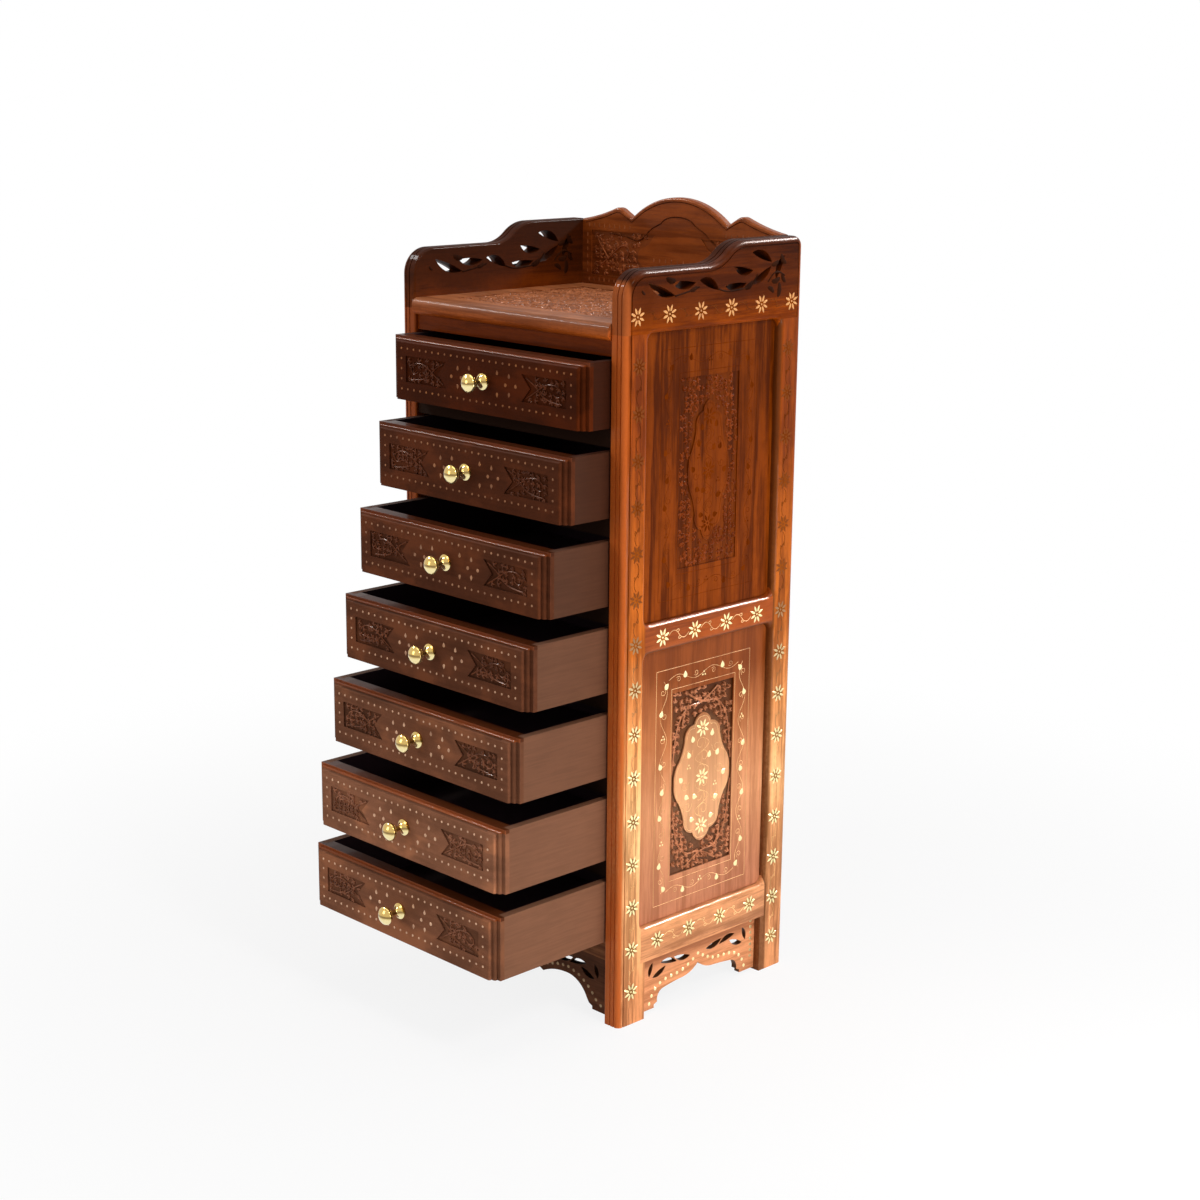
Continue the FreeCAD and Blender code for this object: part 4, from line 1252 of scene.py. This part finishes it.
@dataclass
class SidePanel(Assembly):
    """The inlay and carving of one side panel; places are measured from its middle."""

    name: str
    sign: int
    centre: float
    half_field: Point
    half_medallion: Point
    depth: float
    inlay: str
    wires: str
    carving: str
    stemmed: bool = False
    face_level: float = 181.5
    half_line: Point = (80.0, 144.0)
    line_gap: Point = (2.0, 6.0)
    vine_inset: Point = (12.5, 13.5)
    vine_corner: float = 8.0
    side_vine: tuple[int, float] = (9, 6.0)
    end_vine: tuple[int, float] = (4, 5.0)
    stem_bends: int = 6
    stem_reach: float = 0.62
    stem_sway: float = 0.26
    curl_radius: float = 0.17
    curl_start: float = 1.57
    curl_turns: float = 1.2
    outline_inset: Point = (0.93, 0.95)
    medallion_margin: Point = (3.0, 4.0)
    triple_turn: float = 0.5
    drop_turn: Point = (0.5, 0.8)
    wire: float = 0.25
    drop: float = 3.3
    leaf_pitch: float = 8.4
    leaf_margin: float = 3.5
    stem_radius: float = 1.1
    seed: int = 3
    flowers: tuple[float, ...] = (-0.76, 0.0, 0.76)
    border_drops: tuple[Triple, ...] = (
        (71.5, 91.0, 1.9), (71.5, 27.0, 1.2), (68.5, -5.0, 1.9), (71.5, -36.0, 1.3), (71.5, -96.0, 1.8),
        (63.5, 123.0, 2.3), (63.5, -126.0, 1.0), (32.0, 132.0, 1.6), (30.0, -135.0, 1.6),
    )
    drawn_medallion: Point = (48.0, 80.0)
    medallion_drops: tuple[Point, ...] = (
        (16.6, 51), (-16.5, 49), (26, 25), (12, 25), (-23, 31), (37, -2), (-36, 3),
        (23.6, -30), (-26.6, -20), (-12.7, -22), (16.3, -52), (-17, -50),
    )
    border_triples: tuple[Point, ...] = ((0, 128), (0, -128), (68, 62), (-68, 62), (68, -68), (-68, -68))
    medallion_triples: tuple[Point, ...] = ((-0.48, 0.21), (0.48, -0.16))
    curls: tuple[tuple[float, float, int], ...] = (
        (0.5, 0.42, 1), (-0.5, 0.42, -1), (0.62, 0.08, 1),
        (-0.62, -0.06, -1), (0.5, -0.36, 1), (-0.5, -0.40, -1),
    )
    branches: tuple[tuple[Point, ...], ...] = (
        ((-0.5, 0.96), (0.0, 0.80), (0.45, 0.84), (0.80, 0.66), (0.90, 0.40), (0.97, 0.12)),
        ((0.45, 0.84), (0.60, 0.74), (0.66, 0.58), (0.52, 0.62)),
    )

    @property
    def face(self) -> Face:
        """The panel's face."""
        return Face(Axis.ACROSS, self.sign, self.face_level)

    def drops(self) -> list[Triple]:
        """Where the border's and the medallion's leaf-shaped drops lie.

        Returns:
            Places, and directions.
        """
        border = [*self.border_drops, *((-u, v, math.pi - turn) for u, v, turn in self.border_drops)]
        scale_u, scale_v = (new / drawn for new, drawn in zip(self.half_medallion, self.drawn_medallion))
        share, lean = self.drop_turn
        inner = [
            (u * scale_u, v * scale_v, math.atan2(v, u) * share + lean) for u, v in self.medallion_drops
        ]
        return border + inner

    def lay_wires(self) -> None:
        """Lays the straight lines, the waving stems between them and the medallion's wires."""
        face, middle = self.face, (0.0, self.centre)
        ornament = Ornament(f"{self.name}_wires")
        inner_line = tuple(a + b for a, b in zip(self.half_field, self.line_gap))
        for half_u, half_v in (self.half_line, inner_line):
            corners = [(-half_u, -half_v), (half_u, -half_v), (half_u, half_v), (-half_u, half_v)]
            for ends in zip(corners, corners[1:] + corners[:1]):
                ornament.wire(face.line(ends, middle), self.wire)
        half_u, half_v = (a - b for a, b in zip(self.half_line, self.vine_inset))
        end_u = half_u - self.vine_corner
        bends, sway = self.side_vine
        runs = []
        for side in (-1, 1):
            runs += vine((side * half_u, -half_v), (side * half_u, half_v), bends, sway * side)
            runs += vine((-end_u, side * half_v), (end_u, side * half_v), *self.end_vine)
        half_u, half_v = self.half_medallion
        reach = self.stem_reach * half_v
        runs += vine((0.0, -reach), (0.0, reach), self.stem_bends, self.stem_sway * half_u)
        for u, v, way in self.curls:
            turns = self.curl_turns * way
            place = (u * half_u, v * half_v)
            runs.append(spiral(place, self.curl_radius * half_u, self.curl_start + turns, turns))
        for line in runs:
            ornament.wire(face.line(line, middle), self.wire)
        outline = scalloped(*(a * b for a, b in zip(self.half_medallion, self.outline_inset)))
        ornament.wire(face.line(outline, middle), self.wire, True)
        ornament.piece("case", "knob_brass", self.finishes[self.wires])

    def set_inlay(self) -> None:
        """Sets the flowers, the drops and the threes of studs."""
        ornament = Ornament(f"{self.name}_inlay")
        half_u, half_v = self.half_medallion
        for v in self.flowers:
            ornament.add(self.punches.flower, self.face.matrix(0.0, self.centre + v * half_v))
        for u, v, turn in self.drops():
            place = self.face.matrix(u, self.centre + v, turn)
            ornament.add(self.punches.drop, place @ flat(self.drop))
        inner = [(u * half_u, v * half_v) for u, v in self.medallion_triples]
        for u, v in (*self.border_triples, *inner):
            ornament.add(self.punches.triple, self.face.matrix(u, self.centre + v, self.triple_turn))
        ornament.piece("case", "knob_brass", self.finishes[self.inlay])

    def carve(self) -> None:
        """Carves the field round the medallion."""
        ornament = Ornament(f"{self.name}_carving")
        field_u, field_v = self.half_field
        corners = ((1, 1), (-1, 1), (1, -1), (-1, -1)) if self.stemmed else ()
        stems = [
            [(u * a * field_u, v * b * field_v) for a, b in branch]
            for u, v in corners
            for branch in self.branches
        ]
        medallion = scalloped(*(a + b for a, b in zip(self.half_medallion, self.medallion_margin)))
        foliage = Foliage(
            self.half_field, self.leaf_pitch, self.depth, self.seed, self.leaf_margin, medallion, stems,
            self.stem_radius,
        )
        foliage.cut(ornament, self.punches, self.face, (0.0, self.centre))
        ornament.piece("case", "case_wood", self.finishes[self.carving])

    def build(self) -> None:
        """Builds the panel's inlay and carving."""
        self.lay_wires()
        self.set_inlay()
        self.carve()


@dataclass
class SideFrame(Assembly):
    """The flowers and scrolling wires of the posts, rails and gallery on one side."""

    name: str
    sign: int
    level: float = 190.5
    post_rows: Point = (-124.5, 123.5)
    post_foot: float = 41.0
    post_pitch: float = 52.6
    post_flowers: int = 15
    post_sway: float = 4.0
    gallery_row: float = 831.5
    gallery_flowers: tuple[float, ...] = (-128.0, -78.0, -27.5, 23.0, 74.0, 126.5)
    gallery_sway: float = 5.0
    rails: tuple[Point, ...] = ((463.5, 80.5), (94.5, 81.0))
    rail_inner: float = 27.0
    rail_sway: float = 6.0
    wire: float = 0.40
    ground_height: float = 0.6
    inner_level: float = 166.5
    stem_radius: float = 1.5
    stem_sunk: float = 0.5
    leaf_rise: float = 2.4
    stems: tuple[tuple[Point, ...], ...] = (
        ((0.9, 853.8), (12.0, 849.0), (35.5, 850.5), (49.1, 852.0), (60.6, 859.0), (66.0, 866.0)),
        ((84.0, 856.0), (92.0, 866.0), (104.0, 867.5), (113.0, 862.0)),
        ((-69.8, 850.5), (-56.0, 852.5), (-43.0, 855.0), (-31.0, 858.0)),
    )
    cut_leaves: tuple[tuple[float, float, float, float], ...] = (
        (-77.0, 867.5, -14.0, 8.5), (-120.0, 857.0, -40.0, 4.0), (-40.0, 855.5, 18.0, 6.5),
        (109.0, 880.0, -50.0, 8.0), (52.0, 853.5, 25.0, 9.0), (110.0, 859.0, -60.0, 7.0),
        (98.0, 856.5, 12.0, 8.0), (104.5, 846.0, 85.0, 9.0), (90.0, 848.0, 150.0, 7.0),
        (96.0, 876.0, 20.0, 7.0),
    )
    scroll_line: tuple[Point, ...] = (
        (0.19, 0.1), (0.28, 1.0), (0.42, 0.8), (0.5, 0.0), (0.58, -0.8), (0.72, -1.0), (0.81, -0.1),
    )
    scroll_curl: tuple[Point, ...] = ((0.42, 0.8), (0.50, 1.1), (0.52, 0.5), (0.46, 0.45))

    @property
    def face(self) -> Face:
        """The outer face of the frame."""
        return Face(Axis.ACROSS, self.sign, self.level)

    def scroll(self, ornament: Ornament, start: Point, end: Point, sway: float) -> None:
        """Winds one wire from a flower to the next, with a curl at each bend.

        Args:
            ornament: the piece that grows.
            start: the first flower.
            end: the next flower.
            sway: how far the wire leaves the straight line.
        """
        run = Vector((end[0] - start[0], end[1] - start[1]))
        side = Vector((-run.y, run.x)).normalized() * sway
        for path, flip in ((self.scroll_line, 1.0), (self.scroll_curl, 1.0), (self.scroll_curl, -1.0)):
            spots = [Vector(start) + run * (a if flip > 0 else 1.0 - a) + side * b * flip for a, b in path]
            ornament.wire(self.face.line(spots), self.wire)

    def row(
        self, flowers: Ornament, grounds: Ornament, wires: Ornament, spots: Sequence[Point], sway: float
    ) -> None:
        """Sets a row of flowers on darker grounds, with a scroll between each and the next.

        Args:
            flowers: the piece of the flowers.
            grounds: the piece of the grounds.
            wires: the piece of the wires.
            spots: where the flowers lie.
            sway: how far the wires leave the straight line.
        """
        for spot in spots:
            flowers.add(self.punches.flower, self.face.matrix(*spot))
            grounds.add(self.punches.disc, self.face.matrix(*spot) @ flat(1.0, height=self.ground_height))
        for spot, after in zip(spots, spots[1:]):
            self.scroll(wires, spot, after, sway)

    def build(self) -> None:
        """Sets the flowers and wires, then cuts the stems."""
        posts, flowers = Ornament(f"{self.name}_post_flowers"), Ornament(f"{self.name}_flowers")
        post_wires, wires = Ornament(f"{self.name}_post_wires"), Ornament(f"{self.name}_wires")
        grounds, upper = Ornament(f"{self.name}_grounds"), Ornament(f"{self.name}_gallery_flowers")
        for u in self.post_rows:
            spots = [(u, self.post_foot + self.post_pitch * k) for k in range(self.post_flowers)]
            self.row(posts, grounds, post_wires, spots, self.post_sway)
        for height, outer in self.rails:
            spots = [(u, height) for u in (-outer, -self.rail_inner, self.rail_inner, outer)]
            self.row(flowers, grounds, wires, spots, self.rail_sway)
        spots = [(u, self.gallery_row) for u in self.gallery_flowers]
        self.row(upper, grounds, post_wires, spots, self.gallery_sway)
        posts.piece("case", "knob_brass", self.finishes["post_inlay_brass"])
        flowers.piece("case", "knob_brass", self.finishes["inlay_brass"])
        upper.piece("case", "knob_brass", self.finishes["gallery_inlay_brass"])
        post_wires.piece("case", "knob_brass", self.finishes["post_inlay_wire"])
        wires.piece("case", "knob_brass", self.finishes["inlay_wire"])
        grounds.piece("case", "case_wood", self.finishes["flower_ground"])
        self.cut_stems()

    def cut_stems(self) -> None:
        """Cuts the stems and curls between the gallery's pierced leaves, on both its faces, finished in
        near-black painted shade.
        """
        cut = Ornament(f"{self.name}_stems")
        for face in (self.face, Face(Axis.ACROSS, -self.sign, -self.inner_level)):
            for stem in self.stems:
                cut.wire(face.line(stem, lift=-self.stem_sunk), self.stem_radius)
            for u, v, turn, size in self.cut_leaves:
                place = face.matrix(u, v, math.radians(turn), size)
                cut.add(self.punches.leaf, place @ flat(1.0, height=self.leaf_rise / size))
        cut.piece("case", "case_wood", self.finishes["stained_cut"])


@dataclass
class Apron(Assembly):
    """The studs that follow the scrolled edge of an apron, and a column of them beside each post."""

    name: str
    face: Face
    path: Sequence[Point]
    finish: str
    column: Optional[float] = None
    column_from: float = 20.0
    column_studs: int = 7
    column_pitch: float = 7.7
    pitch: float = 9.7
    size: float = 2.4
    meeting: float = 0.5

    def spots(self) -> list[Point]:
        """Spaces the studs evenly along the path, then up the column.

        Returns:
            Places on the right half.
        """
        points = [Vector(p) for p in self.path]
        reach = [0.0]
        for a, b in zip(points, points[1:]):
            reach.append(reach[-1] + (b - a).length)
        count = round(reach[-1] / self.pitch)
        spots = []
        for k in range(count + 1):
            along = reach[-1] * k / count
            i = max(n for n in range(len(points) - 1) if reach[n] <= along + 1e-9)
            share = (along - reach[i]) / (reach[i + 1] - reach[i])
            spots.append(tuple(points[i].lerp(points[i + 1], share)))
        if self.column:
            heights = (self.column_from + self.column_pitch * k for k in range(self.column_studs))
            spots += [(self.column, height) for height in heights]
        return spots

    def build(self) -> None:
        """Sets the studs on both halves, and once where the halves meet."""
        studs = Ornament(f"{self.name}_studs")
        for u, v in self.spots():
            for side in (1, -1) if abs(u) > self.meeting else (1,):
                studs.add(self.punches.dot, self.face.matrix(side * u, v) @ flat(self.size))
        studs.piece("case", "knob_brass", self.finishes[self.finish])


@dataclass
class Crown(Assembly):
    """The carving of the crest board and of the top; places on the crest are from its field's middle."""

    crest_depth: float = 133.0
    crest_half: Point = (150.5, 28.0)
    crest_middle: float = 864.5
    crest_medallion: Point = (68.3, 38.0)
    crest_sunk: float = 1.5
    crest_pitch: float = 10.0
    crest_seed: int = 5
    top_level: float = 824.5
    top_half: Point = (132.5, 105.0)
    top_middle: float = -6.0
    top_sunk: float = 1.2
    top_pitch: float = 12.5
    top_seed: int = 7
    leaf_margin: float = 4.0
    dash: float = 2.6
    dash_pitch: float = 9.0
    dash_gap: float = 6.0
    dash_end_gap: float = 7.0
    dash_start: float = 4.0
    medallion_gap: float = 8.0
    medallion_margin: Point = (5.0, 4.0)
    middle_row: float = -3.0
    middle_dashes: range = range(-40, 41, 10)
    arch_wire: float = 0.8
    rim_wire: float = 0.6
    rib_wire: float = 0.9
    rib_sunk: float = 0.7
    arch_top: float = 52.0
    arch: tuple[Point, ...] = (
        (-52.0, 29.5), (-47.0, 34.0), (-38.0, 38.5), (-28.0, 43.0),
        (-28.0, 43.5), (-22.0, 48.5), (-10.0, 51.5),
    )
    dome_radius: float = 119.6
    dome_centre: float = -49.1
    dome: tuple[float, ...] = (72.0, 60.0, 45.0, 30.0, 15.0)
    lobe: tuple[Point, ...] = (
        (161, 37.0), (140, 41.5), (122, 46.5), (111, 50.6), (104, 53.0), (97.5, 50.6), (90, 47),
        (80, 41.5), (79, 41.5),
    )
    rib: tuple[Point, ...] = (
        (52.0, 29.0), (58.0, 24.0), (66.0, 19.5), (74.0, 19.0), (86.0, 22.5), (100.0, 25.0), (118.0, 25.0),
    )
    stems: tuple[tuple[Point, ...], ...] = (
        ((148, -24), (120, -6), (96, 14), (80, 8), (88, -4)),
        ((120, -6), (132, 8), (142, 20), (130, 23)),
    )

    @property
    def crest_face(self) -> Face:
        """The front of the crest board."""
        return Face(Axis.DEPTH, -1, -self.crest_depth)

    def cut_lines(self) -> None:
        """Cuts the arch over the medallion, the line along the crest's rim and a rib in each field, finished
        dark as painted shade in their grooves.
        """
        cut, middle = Ornament("crest_outline"), (0.0, self.crest_middle)
        line = [*self.arch, (0.0, self.arch_top), *((-u, v) for u, v in reversed(self.arch))]
        cut.wire(self.crest_face.line(line, middle), self.arch_wire)
        dome = [(u, math.sqrt(self.dome_radius ** 2 - u * u) + self.dome_centre) for u in self.dome]
        rim = [*self.lobe, *dome]
        line = [*((-u, v) for u, v in rim), (0.0, self.dome_radius + self.dome_centre), *reversed(rim)]
        cut.wire(self.crest_face.line(line, middle), self.rim_wire)
        for side in (-1, 1):
            rib = [(side * u, v) for u, v in self.rib]
            cut.wire(self.crest_face.line(rib, middle, -self.rib_sunk), self.rib_wire)
        cut.piece("case", "case_wood", self.finishes["crest_line"])

    def set_dashes(self) -> None:
        """Sets the dashes round the fields and along the medallion."""
        dashes = Ornament("crest_dashes")
        half_u, half_v = self.crest_half
        spots = []
        for k in range(int(2 * (half_u + self.dash_gap) / self.dash_pitch) + 1):
            u = self.dash_pitch * k - half_u - self.dash_start
            spots.append((u, -half_v - self.dash_gap))
            if abs(u) > self.crest_medallion[0] + self.medallion_gap:
                spots.append((u, half_v + self.dash_gap))
        end = half_u + self.dash_end_gap
        for k in range(int(2 * half_v / self.dash_pitch)):
            spots += [(side * end, self.dash_pitch * (k + 0.5) - half_v) for side in (-1, 1)]
        spots += [(u, self.middle_row) for u in self.middle_dashes]
        for u, v in spots:
            place = self.crest_face.matrix(u, self.crest_middle + v, math.pi / 2)
            dashes.add(self.punches.petal, place @ flat(self.dash))
        dashes.piece("case", "knob_brass", self.finishes["crest_inlay"])

    def carve_crest(self) -> None:
        """Carves the two fields beside the crest's medallion."""
        medallion = scalloped(*(a + b for a, b in zip(self.crest_medallion, self.medallion_margin)))
        crest = Ornament("crest_carving")
        stems = [[(s * u, v) for u, v in stem] for stem in self.stems for s in (-1, 1)]
        foliage = Foliage(
            self.crest_half, self.crest_pitch, self.crest_sunk, self.crest_seed, self.leaf_margin,
            medallion, stems,
        )
        foliage.cut(crest, self.punches, self.crest_face, (0.0, self.crest_middle))
        crest.piece("case", "case_wood", self.finishes["crest_carving_wood"])

    def carve_top(self) -> None:
        """Carves the field of the top board."""
        top = Ornament("top_carving")
        foliage = Foliage(self.top_half, self.top_pitch, self.top_sunk, self.top_seed, self.leaf_margin)
        foliage.cut(top, self.punches, Face(Axis.UP, 1, self.top_level), (0.0, self.top_middle))
        top.piece("case", "case_wood", self.finishes["top_carving_wood"])

    def build(self) -> None:
        """Carves the crest and the top."""
        self.carve_crest()
        self.cut_lines()
        self.set_dashes()
        self.carve_top()


@dataclass
class Drawer(Assembly):
    """The studs, drops and carving of one drawer front, and its finishes."""

    number: int
    base: float
    edge: float
    light: float
    box_light: float
    field_shade: float
    half: float = 165.5
    inside: float = 155.5
    height: float = 75.06
    middle: float = 37.5
    proud: float = 8.0
    sunk: float = 2.0
    moulding: float = 5.0
    row: float = 24.0
    row_end: float = 145.0
    row_studs: int = 27
    column_studs: int = 5
    stud: float = 1.6
    rounds: Point = (55.0, 38.0)
    round_size: float = 2.4
    drops: tuple[Point, ...] = ((44.0, 10.0), (44.0, -10.0), (24.0, 12.0), (24.0, -12.0))
    drop_size: Point = (2.3, 2.0)
    field_from: float = 64.5
    field_to: float = 137.5
    field_half: float = 15.5
    notch: float = 14.0
    notch_margin: float = 3.5
    leaf_margin: float = 3.0
    leaf_pitch: float = 8.6
    first_seed: int = 11
    stem_radius: float = 0.8
    stems: tuple[tuple[Point, ...], ...] = (
        ((-30, -12), (-14, -3), (2, 8), (20, 9), (30, 0), (22, -7), (14, -2)),
        ((-30, 12), (-16, 6), (-4, -6), (10, -11), (28, -12)),
    )
    lining: Colour = (0.045, 0.022, 0.030)
    unlined: float = 0.2
    # Tones from the darkest drawer's to the palest: the top drawers' darker tones are painted shade and the
    # low drawers' paler ones painted light, for fronts, mouldings, boxes, studs and carving.
    front_tones: Pair = ((0.076, 0.0140, 0.0032), (0.400, 0.164, 0.086))
    moulding_tones: Pair = ((0.200, 0.042, 0.010), (0.420, 0.105, 0.030))
    box_tones: Pair = ((0.036, 0.0076, 0.0026), (0.210, 0.090, 0.048))
    brass_tones: Pair = ((0.22, 0.080, 0.026), (0.66, 0.42, 0.27))
    tarnish_tones: Pair = ((0.12, 0.038, 0.013), (0.46, 0.26, 0.16))
    carving_tones: Pair = ((0.120, 0.028, 0.009), (0.360, 0.140, 0.072))
    end_shade: float = 1.6
    most_end_shade: float = 0.65
    front_shift: float = 0.37
    box_shift: float = 0.21

    @property
    def body(self) -> str:
        """The body that carries the drawer."""
        return f"drawer_{self.number}"

    @property
    def face(self) -> Face:
        """The front's face."""
        return Face(Axis.DEPTH, -1, self.proud - self.edge)

    @property
    def centre(self) -> float:
        """The height of the front's middle."""
        return self.base + self.middle

    def tone(self, ends: Pair, share: float) -> Colour:
        """A colour so far from the darkest drawer's to the palest drawer's; the spread between drawers is
        painted light and shade.
        """
        return tuple(dark + (pale - dark) * share for dark, pale in zip(*ends))

    def finish_nodes(self) -> None:
        """Dresses the drawer's own solids."""
        front = DrawerFrontWood(
            f"{self.body}_front_wood",
            face=self.tone(self.front_tones, self.light),
            moulding=self.tone(self.moulding_tones, self.light),
            half_width=self.half * MM,
            face_level=(self.edge - self.proud) * MM,
            edge=self.edge * MM,
            moulding_foot=(self.base + self.height - self.moulding) * MM,
            carved=self.sunk * MM,
            end_shade=min(self.most_end_shade, self.end_shade * self.light),
            field_shade=self.field_shade,
            shift=self.front_shift * self.number,
        ).material()
        planed = self.tone(self.box_tones, self.box_light)
        shift = self.box_shift * self.number
        box = BoxWood(f"{self.body}_box_wood", planed, self.lining, self.inside * MM, shift).material()
        lining = BoxWood(f"{self.body}_lining", planed, self.lining, self.unlined).material()
        knob = KnobReflectionBrass(f"{self.body}_knob_brass", self.centre * MM).material()
        rows = (("front", front), ("sides", box), ("back", lining), ("bottom", lining), ("knob", knob))
        for part, finish in rows:
            dress(f"{self.body}_{part}", finish)

    def set_inlay(self) -> None:
        """Sets the frame of studs, and the studs and drops on each side of the knob."""
        finish = Brass(
            f"{self.body}_inlay_brass",
            self.tone(self.brass_tones, self.box_light),
            self.tone(self.tarnish_tones, self.box_light),
            worn=0.52,
            roughness=0.46,
        ).material()
        ornament = Ornament(f"{self.body}_inlay")
        along = [-self.row_end + 2 * self.row_end * k / (self.row_studs - 1) for k in range(self.row_studs)]
        spots = [(u, v) for u in along for v in (-self.row, self.row)]
        for k in range(1, self.column_studs - 1):
            v = self.row * (2 * k / (self.column_studs - 1) - 1)
            spots += [(u, v) for u in (-self.row_end, self.row_end)]
        for u, v in spots:
            ornament.add(self.punches.dot, self.face.matrix(u, self.centre + v) @ flat(self.stud))
        for side in (-1, 1):
            for u in self.rounds:
                place = self.face.matrix(side * u, self.centre)
                ornament.add(self.punches.dot, place @ flat(self.round_size))
            for u, v in self.drops:
                place = self.face.matrix(side * u, self.centre + v, math.copysign(math.pi / 2, v))
                ornament.add(self.punches.drop, place @ flat(*self.drop_size))
        ornament.piece(self.body, "knob_brass", finish)

    def carve(self) -> None:
        """Carves the two notched fields."""
        ornament = Ornament(f"{self.body}_carving")
        half = ((self.field_to - self.field_from) / 2, self.field_half)
        middle = (self.field_to + self.field_from) / 2
        foot, past, top = self.notch_margin - half[0], -2 * half[0], self.field_half
        notch = [(foot + self.notch, 0.0), (foot, top), (past, top), (past, -top), (foot, -top)]
        for side in (-1, 1):
            wedge, *stems = ([(side * u, v) for u, v in line] for line in (notch, *self.stems))
            foliage = Foliage(
                half, self.leaf_pitch, self.sunk, self.first_seed + self.number, self.leaf_margin,
                wedge, stems, self.stem_radius,
            )
            foliage.cut(ornament, self.punches, self.face, (side * middle, self.centre))
        tone = self.tone(self.carving_tones, self.light)
        wood = one_tone(f"{self.body}_carving_wood", tone, coat=0.08, gloss=0.10, grain=Axis.ACROSS)
        ornament.piece(self.body, "front_wood", wood.material())

    def build(self) -> None:
        """Dresses the drawer, sets its inlay and carves its fields."""
        self.finish_nodes()
        self.set_inlay()
        self.carve()


# For each drawer from the top: base and front edge in millimetres, then how pale its front and box are
# painted, the spread being painted light and shade, and how dark the painted shade in its carved fields is.
DRAWERS = (
    (708.2, -176.0, 0.0, 0.0, 0.16),
    (607.2, -202.7, 0.10, 0.10, 0.18),
    (506.1, -233.4, 0.16, 0.26, 0.22),
    (405.1, -257.9, 0.27, 0.58, 0.42),
    (304.0, -278.2, 0.55, 0.76, 0.52),
    (203.0, -299.4, 1.0, 0.95, 0.36),
    (101.9, -307.1, 0.68, 1.0, 0.34),
)
APRON_LEVEL = 181.5
APRON_COLUMN = 95.0
APRON_PATH = ((84, 10), (79, 22), (70, 31), (55, 35), (38, 36), (25, 38), (12, 44), (0, 51))
FRONT_APRON_LEVEL = 132.0
FRONT_APRON_PATH = (
    (148, 12), (138, 18), (132, 26), (122, 34), (108, 41), (90, 45), (70, 42), (50, 36), (30, 42), (0, 46),
)


def main() -> None:
    """Builds the chest's dress and the stage, in order."""
    logging.basicConfig(level=logging.INFO, format="%(name)s: %(message)s")
    tools = (Punches(), {finish.name: finish.material() for finish in SHARED_FINISHES})
    Cabinet(CASE_FINISHES).build()
    for side, sign in SIDES.items():
        SideFrame(*tools, f"frame_{side}", sign).build()
        SidePanel(
            *tools, f"lower_panel_{side}", sign, centre=276.0, depth=3.0, stemmed=True,
            half_field=(52.5, 112.5), half_medallion=(48.0, 80.0),
            inlay="inlay_brass", wires="inlay_wire", carving="lower_carving_wood",
        ).build()
        SidePanel(
            *tools, f"upper_panel_{side}", sign, centre=646.5, depth=1.5,
            half_field=(49.0, 110.0), half_medallion=(34.0, 82.0),
            inlay="faint_inlay", wires="faint_inlay", carving="upper_carving_wood",
        ).build()
        face = Face(Axis.ACROSS, sign, APRON_LEVEL)
        Apron(*tools, f"apron_{side}", face, APRON_PATH, "inlay_brass", APRON_COLUMN).build()
    face = Face(Axis.DEPTH, -1, FRONT_APRON_LEVEL)
    Apron(*tools, "apron_front", face, FRONT_APRON_PATH, "dim_inlay_brass").build()
    Crown(*tools).build()
    for number, row in enumerate(DRAWERS, 1):
        Drawer(*tools, number, *row).build()
    Stage().build()
    bpy.context.view_layer.update()


if __name__ == "__main__":
    main()
